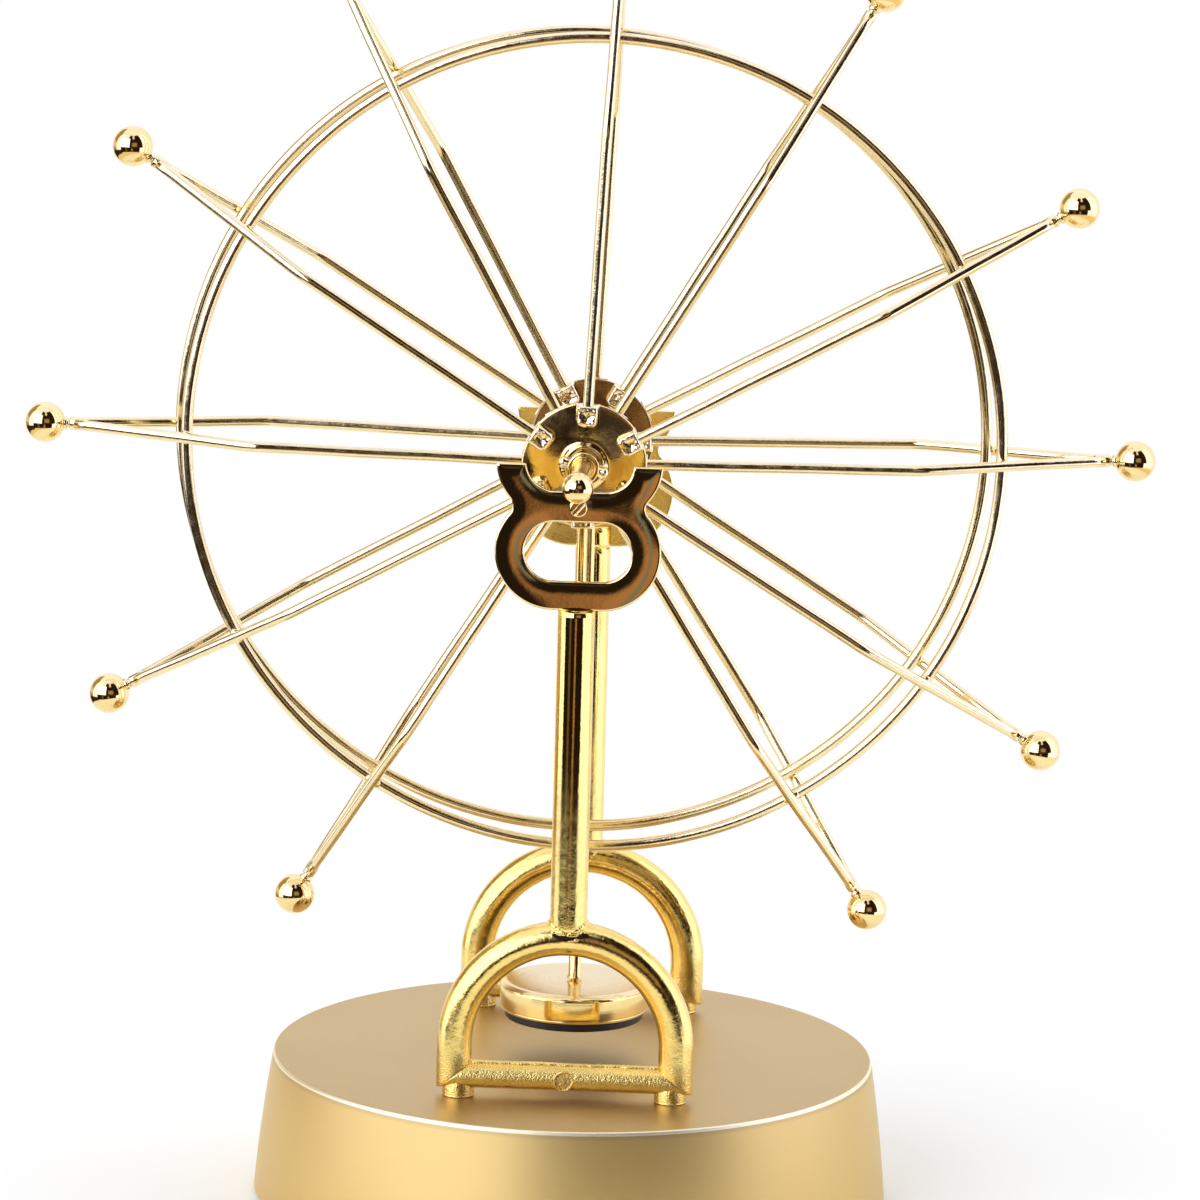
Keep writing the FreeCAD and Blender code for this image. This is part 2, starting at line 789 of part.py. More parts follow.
save("front_ring", front_ring(ring_shift))
save("rear_ring", mirrored(front_ring(-ring_shift)))
save("axle", axle())
save("weight_disc", weight_disc())
save("weight_magnet", weight_magnet())
balls = []
for index in range(spoke_count):
    degrees = index * 360 // spoke_count
    if degrees == weight_angle:
        save("weight_hanger", weight_hanger(index))
    else:
        save("spoke_%03d" % degrees, ball_spoke(index))
        balls.append(end_ball(index))
save("end_balls", Part.makeCompound(balls))
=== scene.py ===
import json
import math

import bmesh
import bpy
from mathutils import Matrix, Vector, noise
from mathutils.geometry import delaunay_2d_cdt


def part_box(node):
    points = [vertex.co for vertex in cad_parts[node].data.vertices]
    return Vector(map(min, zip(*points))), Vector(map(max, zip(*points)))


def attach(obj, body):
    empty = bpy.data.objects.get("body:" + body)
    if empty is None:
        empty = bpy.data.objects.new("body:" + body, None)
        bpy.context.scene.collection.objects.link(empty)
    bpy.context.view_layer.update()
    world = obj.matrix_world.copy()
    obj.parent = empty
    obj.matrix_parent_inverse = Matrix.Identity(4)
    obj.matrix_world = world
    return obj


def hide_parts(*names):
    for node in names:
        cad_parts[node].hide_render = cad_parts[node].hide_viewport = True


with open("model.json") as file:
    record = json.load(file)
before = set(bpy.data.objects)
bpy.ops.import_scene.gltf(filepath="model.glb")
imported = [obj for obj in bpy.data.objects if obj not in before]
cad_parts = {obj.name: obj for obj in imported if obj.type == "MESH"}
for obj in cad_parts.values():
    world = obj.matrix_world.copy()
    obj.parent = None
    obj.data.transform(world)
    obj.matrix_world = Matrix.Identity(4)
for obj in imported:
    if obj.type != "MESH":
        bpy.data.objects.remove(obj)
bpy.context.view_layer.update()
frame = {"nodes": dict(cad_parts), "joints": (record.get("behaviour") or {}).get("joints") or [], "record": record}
scene = bpy.context.scene
scene.view_settings.view_transform = "Standard"
# The wander of the wires comes from a seed that is the time of day unless it is set
noise.seed_set(1)

# Lengths of shapes are in millimetres and become metres when a mesh is made,
# those of the camera, the floor and the materials are in metres
MM = 0.001
AXLE_HEIGHT = frame["joints"][0]["pos_m"][2] / MM

# Camera, where the photograph was taken from
CAMERA_PLACE = (0.0456, -1.10045, 0.3211)
CAMERA_YAW = -0.03592
CAMERA_PITCH = 0.18424
CAMERA_ROLL = 0.02716
CAMERA_LENS = 177.2
CAMERA_SHIFT = (-0.01353, 0.002826)
CAMERA_CLIP = (0.01, 50)
SENSOR_WIDTH = 36

# Wheel, with its places in degrees from +X
PLACES = range(0, 360, 30)
RING_RADIUS = 76.5
RING_WIRE = 1.1
RING_RISE = 2.3
RING_SHIFT = 1.3
RING_ROD_GAP = 0.03
ROD_RADIUS = 1.0
DISC_OFFSET = 16.0
DISC_THICKNESS = 1.0
DISC_RADIUS = 11.7
ROD_START = 8.2
ROD_DISC_GAP = 0.15
KINK_RADIUS = 62.5
KINK_BEND = 8.0
TIP_RADIUS = 97.0
TIP_OFFSET = 0.6
BALL_CIRCLE = 103.0
BALL_RADIUS = 3.8
BALL_FLAT_RADIUS = 0.75
NECK_RADIUS = 1.2
NECK_START = 96.2
GROOVE_START = 98.3
GROOVE_WIDTH = 0.5
GROOVE_RADIUS = 0.85
GROOVE_EDGE_RADIUS = 1.08
SPOKE_LEAN = {
    0: 0.9, 30: -1.6, 60: -1.0, 90: -2.4, 120: -1.2, 150: -2.4,
    180: -1.3, 210: -1.2, 240: -1.7, 300: 2.6, 330: -2.0,
}
WEIGHT_ANGLE = 270
ROD_SLOPE = (DISC_OFFSET - TIP_OFFSET) / (TIP_RADIUS - KINK_RADIUS)


def make_camera():
    """Camera at the photograph's place, turned by yaw, then pitch, then roll."""
    data = bpy.data.cameras.new("camera")
    camera = bpy.data.objects.new("camera", data)
    scene.collection.objects.link(camera)
    ahead = Vector((
        math.sin(CAMERA_YAW) * math.cos(CAMERA_PITCH),
        math.cos(CAMERA_YAW) * math.cos(CAMERA_PITCH),
        -math.sin(CAMERA_PITCH),
    ))
    right = ahead.cross(Vector((0, 0, 1))).normalized()
    up = right.cross(ahead)
    c, s = math.cos(CAMERA_ROLL), math.sin(CAMERA_ROLL)
    right, up = c * right + s * up, c * up - s * right
    turn = Matrix((right, up, -ahead)).transposed().to_4x4()
    camera.matrix_world = Matrix.Translation(CAMERA_PLACE) @ turn
    data.sensor_width = SENSOR_WIDTH
    data.lens = CAMERA_LENS
    data.shift_x, data.shift_y = CAMERA_SHIFT
    data.clip_start, data.clip_end = CAMERA_CLIP
    scene.camera = camera


class Graph:
    """Short way to write a node tree."""

    def __init__(self, tree):
        self.tree = tree

    def node(self, kind, inputs=None, **settings):
        made = self.tree.nodes.new(kind)
        for name, value in settings.items():
            setattr(made, name, value)
        self.fill(made, inputs or {})
        return made

    def fill(self, node, inputs):
        """Links each input to a socket or sets it to a value."""
        for key, value in inputs.items():
            if isinstance(value, bpy.types.NodeSocket):
                self.tree.links.new(value, node.inputs[key])
            else:
                node.inputs[key].default_value = value

    def math(self, operation, *values):
        return self.node("ShaderNodeMath", dict(enumerate(values)), operation=operation).outputs[0]

    def rise(self, value, low, high, start=0.0, end=1.0):
        """Smooth step from start to end as value goes from low to high."""
        numbers = dict(enumerate((value, low, high, start, end)))
        return self.node("ShaderNodeMapRange", numbers, interpolation_type="SMOOTHSTEP").outputs[0]

    def window(self, value, low, high, soft):
        """1 between low and high, with soft edges."""
        return self.math("MULTIPLY", self.rise(value, low - soft, low + soft),
                         self.rise(value, high - soft, high + soft, 1.0, 0.0))

    def mix(self, share, a, b):
        """Colour between a and b."""
        made = self.node("ShaderNodeMix", data_type="RGBA")
        self.fill(made, {"Factor": share, 6: a, 7: b})
        return made.outputs[2]

    def noise(self, place, scale, detail=3.0):
        """Even noise from 0 to 1, scale in waves per metre."""
        inputs = {"Vector": place, "Scale": scale, "Detail": detail}
        return self.node("ShaderNodeTexNoise", inputs).outputs["Fac"]

    def bump(self, height, distance, strength=1.0, normal=None):
        """Surface direction over a height field, on top of another bump if one is given."""
        made = self.node("ShaderNodeBump", {"Height": height, "Distance": distance, "Strength": strength})
        if normal is not None:
            self.fill(made, {"Normal": normal})
        return made.outputs[0]

    def split(self, place):
        """X, Y and Z of a point."""
        return self.node("ShaderNodeSeparateXYZ", {0: place}).outputs

    def from_axis(self, parts):
        """Distance from the vertical axis of a split point."""
        squares = [self.math("POWER", part, 2.0) for part in (parts[0], parts[1])]
        return self.math("SQRT", self.math("ADD", *squares))


def rgb(r, g, b):
    return (r, g, b, 1.0)


WHITE = rgb(1, 1, 1)
BLACK = rgb(0, 0, 0)


def any_of(g, *names):
    """1 for a ray of one of these kinds."""
    kinds = g.node("ShaderNodeLightPath").outputs
    share = kinds[names[0]]
    for name in names[1:]:
        share = g.math("MAXIMUM", share, kinds[name])
    return share


# Light tent: paper over a warm table, with a paler far side behind the toy
PAPER = rgb(1.10, 1.13, 1.42)
TABLE = rgb(0.92, 0.74, 0.48)
FAR_SIDE = rgb(0.96, 0.96, 1.0)
OPENING = (0.022, 0.011, 0.007)

# Windows of the tent, later ones over earlier ones: azimuth (0 towards the camera, positive to its right),
# height and softness in degrees, and colour
TENT = (
    (46, 112, -26, 55, 7, (1.5, 1.53, 2.05)),  # right wall
    (-100, -60, -26, 55, 4, (1.5, 1.53, 2.0)),  # left wall
    (-152, -102, -5, 8, 4, (0.80, 0.68, 0.52)),  # far left, level with the toy
    (-152, -102, 8, 50, 4, (0.40, 0.27, 0.15)),  # far left, high
    (-152, -100, -22, -5, 2, (0.50, 0.33, 0.18)),  # far left, low
    (-140, -100, -34, -14, 3, (0.03, 0.022, 0.015)),  # dark foot, far left
    (-104, -62, -34, -15, 2.5, (0.035, 0.024, 0.015)),  # dark foot, left
    (-74, -14, -1, 46, 2, (2.3, 2.4, 3.0)),  # soft box
    (-13, 65, -4, 66, 2.5, OPENING),  # opening on the camera's side
    (-25, -10, 46, 68, 2.5, OPENING),  # its part over the soft box
    (5, 19, 46, 75, 4, (1.0, 1.0, 1.1)),  # light high in the opening
    (2, 30, 3, 24, 5, (0.34, 0.25, 0.17)),  # dim room in the opening
    (-66, 47, -28, -2, 2, (0.016, 0.010, 0.007)),  # dark table edge
    (-38, -26, -25, -2, 3, (0.12, 0.09, 0.06)),  # dim gap in it
    (-3, 7, -24, -9, 1.5, (0.40, 0.20, 0.10)),  # brown glow that the flat plates show
    (0.2, 1.9, -20, -5, 0.8, (0.19, 0.20, 0.21)),  # grey streak in that glow
)


def make_world():
    """Light tent, drawn by direction: open and dark on the camera's side, a soft box to its left."""
    world = bpy.data.worlds.new("tent")
    scene.world = world
    world.use_nodes = True
    tree = world.node_tree
    tree.nodes.clear()
    g = Graph(tree)
    x, y, z = g.split(g.node("ShaderNodeTexCoord").outputs["Generated"])
    azimuth = g.math("DEGREES", g.math("ARCTAN2", x, g.math("MULTIPLY", y, -1.0)))
    height = g.math("DEGREES", g.math("ARCSINE", z))
    colour = g.mix(g.rise(height, -34, -16), TABLE, PAPER)
    far = g.math("MULTIPLY", g.rise(g.math("ABSOLUTE", azimuth), 130, 150), g.rise(height, 10, 40, 1.0, 0.0))
    colour = g.mix(far, colour, FAR_SIDE)
    for left, right, bottom, top, soft, paint in TENT:
        share = g.math("MULTIPLY", g.window(azimuth, left, right, soft), g.window(height, bottom, top, soft))
        colour = g.mix(share, colour, rgb(*paint))
    behind = g.math("MULTIPLY", far, any_of(g, "Is Glossy Ray", "Is Transmission Ray"))
    white = g.math("MAXIMUM", behind, any_of(g, "Is Camera Ray"))
    back = g.node("ShaderNodeBackground", {"Color": g.mix(white, colour, WHITE), "Strength": 1.0})
    out = g.node("ShaderNodeOutputWorld")
    tree.links.new(back.outputs[0], out.inputs["Surface"])


FLOOR_RADIUS = 0.24
FLOOR_FADE_START = 0.12
FLOOR_SIDES = 96
FLOOR_COLOUR = rgb(0.89, 0.885, 0.73)
FLOOR_LIFT = 0.15


def make_floor():
    """Pale round floor that glows a little where it is seen and fades into the white background."""
    mesh = bpy.data.meshes.new("floor")
    grid = bmesh.new()
    bmesh.ops.create_circle(grid, cap_ends=True, segments=FLOOR_SIDES, radius=FLOOR_RADIUS)
    grid.to_mesh(mesh)
    grid.free()
    floor = bpy.data.objects.new("floor", mesh)
    scene.collection.objects.link(floor)
    made = bpy.data.materials.new("floor")
    made.use_nodes = True
    tree = made.node_tree
    g = Graph(tree)
    shader = tree.nodes["Principled BSDF"]
    place = g.node("ShaderNodeTexCoord").outputs["Object"]
    away = g.node("ShaderNodeVectorMath", {0: place}, operation="LENGTH").outputs["Value"]
    seen = any_of(g, "Is Camera Ray", "Is Glossy Ray", "Is Transmission Ray")
    share = g.math("MULTIPLY", seen, g.rise(away, FLOOR_FADE_START, FLOOR_RADIUS))
    glow = g.node("ShaderNodeEmission", {"Color": WHITE, "Strength": 1.0})
    g.fill(shader, {
        "Base Color": FLOOR_COLOUR,
        "Roughness": 0.9,
        "Specular IOR Level": 0.1,
        "Emission Color": WHITE,
        "Emission Strength": g.math("MULTIPLY", seen, FLOOR_LIFT),
    })
    both = g.node("ShaderNodeMixShader", {0: share, 1: shader.outputs[0], 2: glow.outputs[0]})
    tree.links.new(both.outputs[0], tree.nodes["Material Output"].inputs["Surface"])
    mesh.materials.append(made)


# Materials

GOLD = (1.0, 0.79, 0.37)
WIRE_GOLD = (0.96, 0.81, 0.47)
HANGER_GOLD = (1.0, 0.76, 0.30)
CAST_GOLD = (1.0, 0.75, 0.235)
# Painted highlight: a paler copy of the gold plating for the cross pins and the hub clips, so that they show
# bright
HIGHLIGHT_PALE_GOLD = (1.0, 0.87, 0.58)
SHEET_GOLD = (1.0, 0.75, 0.32)
# Painted shade: a dark brown copy of the gold for the inner faces of the hub discs, where shade falls between them
SHADED_DISC_GOLD = (0.42, 0.25, 0.10)
CHAMPAGNE = (0.62, 0.445, 0.19)
WALL_CHAMPAGNE = (0.74, 0.53, 0.195)
# Painted highlight colour of the narrow bright line round the casing's top edge
RIM_HIGHLIGHT_CHAMPAGNE = (1.0, 0.90, 0.60)
FLUX_BROWN = (0.030, 0.019, 0.009)

# Heights and distances from the vertical axis at which a casting, the weight or the casing changes, and where the
# casing's painted rim highlight lies
BAR_TOP = (0.0345, 0.037)
LEG = (0.038, 0.056)
POST_FOOT = (0.063, 0.090)
POST = (0.070, 0.106)
WEIGHT_SIDE = (0.0132, 0.0139)
WEIGHT_GLOSS = (0.0136, 0.0140)
CASING_WALL = (0.0262, 0.0270)
CASING_HIGHLIGHT_HEIGHT = (0.0272, 0.0273)
CASING_HIGHLIGHT_RADIUS = (0.0571, 0.0572)


def material(name, paint):
    """Material whose principled shader is set up by paint(graph, shader, place)."""
    made = bpy.data.materials.new(name)
    made.use_nodes = True
    g = Graph(made.node_tree)
    place = g.node("ShaderNodeTexCoord").outputs["Object"]
    paint(g, made.node_tree.nodes["Principled BSDF"], place)
    return made


def tinted(g, share, colour, darker):
    """A colour that goes over into a darker shade of itself."""
    return g.mix(share, rgb(*colour), rgb(*(darker * c for c in colour)))


def plated(colour, roughness, uneven, grain_scale, grain_height, wave_scale, wave_height):
    """Plated metal: slow waves and fine grain in the surface, and a roughness that comes and goes."""
    def paint(g, shader, place):
        patches = g.noise(place, wave_scale * 1.7, 4.0)
        waves = g.bump(g.noise(place, wave_scale, 2.0), wave_height)
        g.fill(shader, {
            "Base Color": tinted(g, g.rise(g.noise(place, wave_scale * 0.6), 0.35, 0.7), colour, 0.93),
            "Roughness": g.rise(patches, 0.3, 0.7, roughness - uneven, roughness + uneven),
            "Metallic": 1.0,
            "Normal": g.bump(g.noise(place, grain_scale, 4.0), grain_height, 1.0, waves),
        })
    return paint


def cast(g, shader, place):
    """Plated casting: soft dents and grain that fade up the post, sandy on the crossbars."""
    height = g.split(place)[2]
    low = g.rise(height, *BAR_TOP, 1.0, 0.0)
    fine = g.rise(height, *POST, 1.0, 0.3)
    rough = g.math("MULTIPLY", g.rise(g.noise(place, 700.0, 4.0), 0.3, 0.7, 0.07, 0.17), fine)
    for more in (g.math("MULTIPLY", g.window(height, *POST_FOOT, 0.010), 0.11),
                 g.rise(height, *LEG, 0.08, 0.0), g.math("MULTIPLY", low, 0.03)):
        rough = g.math("ADD", rough, more)
    waves = g.bump(g.noise(place, 420.0, 2.0), 7e-5, fine)
    coarse = g.math("ADD", g.math("MULTIPLY", fine, 0.45), g.math("MULTIPLY", low, 1.1))
    grain = g.bump(g.noise(place, 1500.0, 3.0), 5e-5, coarse, waves)
    sand = g.math("ADD", fine, g.math("MULTIPLY", low, 4.0))
    g.fill(shader, {
        "Base Color": tinted(g, g.rise(g.noise(place, 250.0), 0.35, 0.7), CAST_GOLD, 0.93),
        "Roughness": rough,
        "Metallic": 1.0,
        "Normal": g.bump(g.noise(place, 3200.0, 3.0), 2e-5, sand, grain),
    })


def plain(colour, roughness, metallic, grain_scale, grain_height):
    """Plastic, rubber or dull metal with a fine grain."""
    def paint(g, shader, place):
        grain = g.noise(place, grain_scale, 3.0)
        g.fill(shader, {
            "Base Color": tinted(g, g.rise(grain, 0.3, 0.7), colour, 0.85),
            "Roughness": g.rise(grain, 0.2, 0.8, roughness * 0.85, roughness * 1.15),
            "Metallic": metallic,
            "Normal": g.bump(grain, grain_height),
        })
    return paint


def brushed(g, shader, place):
    """Turned metal: fine rings about the vertical axis, glossier and yellower on the side."""
    parts = g.split(place)
    away = g.from_axis(parts)
    rings = g.noise(g.node("ShaderNodeCombineXYZ", {0: away, 1: parts[2]}).outputs[0], 9000.0, 2.0)
    top = g.mix(rings, rgb(0.95, 0.78, 0.50), rgb(0.86, 0.70, 0.42))
    sheen = g.rise(away, *WEIGHT_GLOSS, 1.0, 0.55)
    g.fill(shader, {
        "Base Color": g.mix(g.rise(away, *WEIGHT_SIDE), top, rgb(0.95, 0.73, 0.31)),
        "Roughness": g.math("MULTIPLY", g.rise(rings, 0.2, 0.8, 0.12, 0.24), sheen),
        "Metallic": 1.0,
        "Normal": g.bump(rings, 4e-6),
    })


def satin(g, shader, place):
    """Satin anodised casing: fine grain, a warmer wall, and a painted highlight, a narrow bright line round the
    top edge.
    """
    grain = g.noise(place, 5200.0, 2.0)
    parts = g.split(place)
    away = g.from_axis(parts)
    # Painted highlight: a narrow bright ring round the top edge of the casing
    edge = g.math("MULTIPLY", g.rise(away, *CASING_HIGHLIGHT_RADIUS), g.rise(parts[2], *CASING_HIGHLIGHT_HEIGHT))
    cover = g.mix(g.rise(parts[2], *CASING_WALL), rgb(*WALL_CHAMPAGNE), rgb(*CHAMPAGNE))
    cover = g.mix(g.rise(g.noise(place, 30.0, 3.0), 0.3, 0.7, 0.0, 0.04), cover, BLACK)
    g.fill(shader, {
        "Base Color": g.mix(edge, cover, rgb(*RIM_HIGHLIGHT_CHAMPAGNE)),
        "Roughness": g.rise(grain, 0.2, 0.8, 0.36, 0.48),
        "Metallic": 1.0,
        "Normal": g.bump(grain, 6e-6),
    })


make_camera()
make_world()
make_floor()

PAINTS = {
    "wire_gold": plated(WIRE_GOLD, 0.15, 0.05, 2600, 1.2e-5, 260, 6e-5),
    "hanger_gold": plated(HANGER_GOLD, 0.15, 0.05, 2600, 1.2e-5, 260, 6e-5),
    "cast_gold": cast,
    "sheet_gold": plated(SHEET_GOLD, 0.12, 0.04, 2400, 1e-5, 300, 4e-5),
    # painted highlight: paler gold on the cross pins and the hub clips
    "highlight_gold": plated(HIGHLIGHT_PALE_GOLD, 0.13, 0.05, 2400, 2e-5, 900, 6e-5),
    # painted shade on the inner faces of the hub discs
    "shaded_disc_back": plated(SHADED_DISC_GOLD, 0.22, 0.06, 2400, 1e-5, 300, 3e-5),
    "dull_gold": plated(CAST_GOLD, 0.30, 0.06, 2400, 1e-5, 300, 3e-5),
    "flux": plain(FLUX_BROWN, 0.45, 1.0, 3000, 6e-5),
    "plate_gold": plated(GOLD, 0.045, 0.015, 1800, 3e-6, 160, 1.5e-5),
    "ball_gold": plated(GOLD, 0.07, 0.02, 2500, 2e-6, 200, 1e-5),
    "axle_gold": plated(GOLD, 0.20, 0.04, 2500, 4e-7, 200, 2e-6),
    "satin": satin,
    "brushed": brushed,
    "magnet": plain((0.012, 0.011, 0.012), 0.45, 0.0, 3000, 1e-5),
    "black_plastic": plain((0.018, 0.018, 0.02), 0.5, 0.0, 2500, 2e-5),
    "bearing_plastic": plain((0.20, 0.13, 0.06), 0.4, 0.0, 2500, 1e-5),
    "bobbin_plastic": plain((0.55, 0.55, 0.50), 0.4, 0.0, 2500, 1e-5),
    "rubber": plain((0.02, 0.02, 0.02), 0.75, 0.0, 4000, 4e-5),
    "steel": plain((0.55, 0.55, 0.56), 0.3, 1.0, 3000, 1e-5),
    "nickel": plain((0.66, 0.62, 0.56), 0.25, 1.0, 3000, 1e-5),
    "copper": plain((0.75, 0.35, 0.2), 0.35, 1.0, 3000, 3e-5),
    "cell_jacket": plain((0.25, 0.27, 0.30), 0.3, 0.0, 2000, 1e-5),
    "laminate": plain((0.03, 0.2, 0.09), 0.4, 0.0, 3000, 1e-5),
}
MATERIALS = {name: material(name, paint) for name, paint in PAINTS.items()}

# Slots of the record whose material has another name than the slot
SLOT_MATERIALS = {
    "polished_gold": "ball_gold",
    "base_satin": "satin",
    "weight_gold": "brushed",
    "magnet_black": "magnet",
    "foot_rubber": "rubber",
    "plain_steel": "steel",
    "contact_nickel": "nickel",
    "copper_wire": "copper",
    "board_laminate": "laminate",
}

for entry in frame["record"]["subparts"]:
    materials = frame["nodes"][entry["node"]].data.materials
    materials.clear()
    materials.append(MATERIALS[SLOT_MATERIALS.get(entry["material_slot"], entry["material_slot"])])


# Meshes

def piece(name, shape, paint, body, stands_for=()):
    """Makes a smooth-shaded object from a shape in millimetres that rides on a body."""
    mesh = bpy.data.meshes.new(name)
    mesh.from_pydata([Vector(v) * MM for v in shape.verts], [], shape.faces)
    mesh.validate()
    mesh.polygons.foreach_set("use_smooth", [True] * len(mesh.polygons))
    mesh.materials.append(MATERIALS[paint])
    made = bpy.data.objects.new(name, mesh)
    scene.collection.objects.link(made)
    tidy = bmesh.new()
    tidy.from_mesh(mesh)
    bmesh.ops.recalc_face_normals(tidy, faces=tidy.faces)
    tidy.to_mesh(mesh)
    tidy.free()
    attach(made, body)
    if stands_for:
        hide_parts(*stands_for)
    return made


def paint_back(made, paint, side):
    """Gives the faces of a sheet that look back towards the middle a paint of their own: painted shade on the hub
    discs, a rougher finish on the plates.
    """
    made.data.materials.append(MATERIALS[paint])
    for face in made.data.polygons:
        if face.normal.y * side < -0.5:
            face.material_index = 1


def turns(count):
    """Angles of a full turn in even steps."""
    return [2 * math.pi * i / count for i in range(count)]


def clamp(value, low=0.0, high=1.0):
    return min(high, max(low, value))


def bend(start, corner, end, steps):
    """Points of a curve from start to end that is drawn towards a corner."""
    shares = [i / steps for i in range(steps + 1)]
    return [(1 - t) ** 2 * start + 2 * t * (1 - t) * corner + t * t * end for t in shares]


class Shape:
    """Points and faces that grow as forms are added."""

    def __init__(self):
        self.verts = []
        self.faces = []

    def add(self, verts, faces):
        start = len(self.verts)
        self.verts.extend(verts)
        self.faces.extend([tuple(i + start for i in face) for face in faces])

    def loft(self, rings, closed=False):
        """Skin over rings of equally many points, capped at both ends unless it is closed."""
        sides = len(rings[0])
        verts = [point for ring in rings for point in ring]
        faces = []
        count = len(rings)
        for i in range(count if closed else count - 1):
            a, b = i * sides, (i + 1) % count * sides
            for j in range(sides):
                k = (j + 1) % sides
                faces.append((a + j, a + k, b + k, b + j))
        if not closed:
            faces.append(tuple(range(sides - 1, -1, -1)))
            faces.append(tuple(range((count - 1) * sides, count * sides)))
        self.add(verts, faces)

    def sweep(self, path, radius, sides, closed=False, ends=(0.0, 0.0)):
        """Round tube along a path, with one radius or one per point, and its ends rounded off."""
        count = len(path)
        radii = radius if isinstance(radius, list) else [radius] * count
        tangents = []
        for i in range(count):
            if closed:
                step = path[(i + 1) % count] - path[i - 1]
            else:
                step = path[min(i + 1, count - 1)] - path[max(i - 1, 0)]
            tangents.append(step.normalized())
        normal = tangents[0].orthogonal().normalized()
        rings = []
        for i in range(count):
            normal = (normal - tangents[i] * normal.dot(tangents[i])).normalized()
            side = tangents[i].cross(normal)
            rings.append([
                path[i] + radii[i] * (math.cos(t) * normal + math.sin(t) * side) for t in turns(sides)
            ])
        if not closed:
            rings = self.rounded_end(rings, path[0], -tangents[0], ends[0], True)
            rings = self.rounded_end(rings, path[-1], tangents[-1], ends[1], False)
        self.loft(rings, closed)

    @staticmethod
    def rounded_end(rings, centre, outward, depth, first):
        """The rings with more of them that close in beyond the first or the last one."""
        if depth <= 0:
            return rings
        edge = rings[0] if first else rings[-1]
        extra = []
        for step in (30, 55, 75):
            shrink, out = math.cos(math.radians(step)), math.sin(math.radians(step))
            extra.append([centre + (point - centre) * shrink + outward * depth * out for point in edge])
        if first:
            return extra[::-1] + rings
        return rings + extra

    def lathe(self, profile, centre, axis, sides):
        """Turned form: profile is pairs of distance along the axis and radius."""
        across = axis.orthogonal().normalized()
        other = axis.cross(across)
        round_axis = [math.cos(t) * across + math.sin(t) * other for t in turns(sides)]
        self.loft([[centre + axis * along + v * radius for v in round_axis] for along, radius in profile])


def waver(path, size, scale, seed):
    """Moves the points of a path a little, as hand-bent wire wanders."""
    start = Vector((seed * 7.31, seed * 3.17, seed * 5.53))
    return [point + noise.noise_vector(point / scale + start) * size for point in path]


def round_profile(points, radius, steps=4):
    """Profile with its inner corners rounded."""
    made = [points[0]]
    for before, at, after in zip(points, points[1:], points[2:]):
        a, b, c = Vector(before), Vector(at), Vector(after)
        reach = min(radius, (a - b).length / 2, (c - b).length / 2)
        start, end = b + (a - b).normalized() * reach, b + (c - b).normalized() * reach
        made += [tuple(point) for point in bend(start, b, end, steps)]
    made.append(points[-1])
    return made


def ball_profile(centre, radius, first, last):
    """Profile of a ball from the first to the last step of 32."""
    angles = [math.pi * i / 32 for i in range(first, last + 1)]
    return [(centre - math.cos(t) * radius, max(math.sin(t) * radius, TIP)) for t in angles]


# Smallest radii of turned forms: at the end of a ball and in the middle of a flat end
TIP = 0.02
CLOSED = 0.05
X = Vector((1, 0, 0))
Y = Vector((0, 1, 0))
Z = Vector((0, 0, 1))
AXLE = Vector((0, 0, AXLE_HEIGHT))


def in_wheel(degrees):
    """Direction in the plane of the wheel."""
    angle = math.radians(degrees)
    return Vector((math.cos(angle), 0, math.sin(angle)))


def spoke_direction(degrees):
    return in_wheel(degrees + SPOKE_LEAN.get(degrees, 0.0))


def rod_path(start_offset, steps_in=22, steps_bend=8, steps_out=14):
    """Points (distance from the axle, distance from the middle plane) of one bent rod."""
    start = Vector((ROD_START, start_offset))
    knee = Vector((KINK_RADIUS, DISC_OFFSET))
    tip = Vector((TIP_RADIUS, TIP_OFFSET))
    back, ahead = (start - knee).normalized(), (tip - knee).normalized()
    half_turn = (math.pi - back.angle(ahead)) / 2
    setback = KINK_BEND * math.tan(half_turn)
    bend_in, bend_out = knee + back * setback, knee + ahead * setback
    points = [start.lerp(bend_in, i / steps_in) for i in range(steps_in)]
    points += bend(bend_in, knee, bend_out, steps_bend)
    return points + [bend_out.lerp(tip, i / steps_out) for i in range(1, steps_out + 1)]


ROD_SIDES = 20
ROD_WANDER = (0.10, 14.0)
RING_WANDER = (0.12, 26.0)


def add_rods(shape, degrees, seed):
    """Front and rear rod of one spoke."""
    outward = spoke_direction(degrees)
    step = DISC_THICKNESS / 2 + ROD_DISC_GAP + ROD_RADIUS
    start_offset = DISC_OFFSET + (step if degrees // 30 % 2 else -step)
    for side in (-1, 1):
        path = [AXLE + outward * p.x + Y * side * p.y for p in rod_path(start_offset)]
        path = waver(path, *ROD_WANDER, seed + side * 0.5)
        shape.sweep(path, ROD_RADIUS, ROD_SIDES, ends=(0.5, 0.3))


def make_spoke(degrees, seed):
    """Two rods and the grooved neck that they meet in."""
    shape = Shape()
    add_rods(shape, degrees, seed)
    groove_end = GROOVE_START + GROOVE_WIDTH
    profile = [
        (NECK_START - 1.2, 0.9), (NECK_START - 0.4, 1.12), (NECK_START + 0.6, NECK_RADIUS),
        (GROOVE_START - 0.15, NECK_RADIUS), (GROOVE_START, GROOVE_EDGE_RADIUS),
        (GROOVE_START + 0.08, GROOVE_RADIUS), (groove_end - 0.08, GROOVE_RADIUS),
        (groove_end, GROOVE_EDGE_RADIUS), (groove_end + 0.15, NECK_RADIUS),
        (BALL_CIRCLE - BALL_RADIUS + 0.6, NECK_RADIUS),
    ]
    shape.lathe(profile, AXLE, spoke_direction(degrees), ROD_SIDES)
    name = "spoke_%03d" % degrees
    piece("wire_" + name, shape, "wire_gold", "wheel", [name])


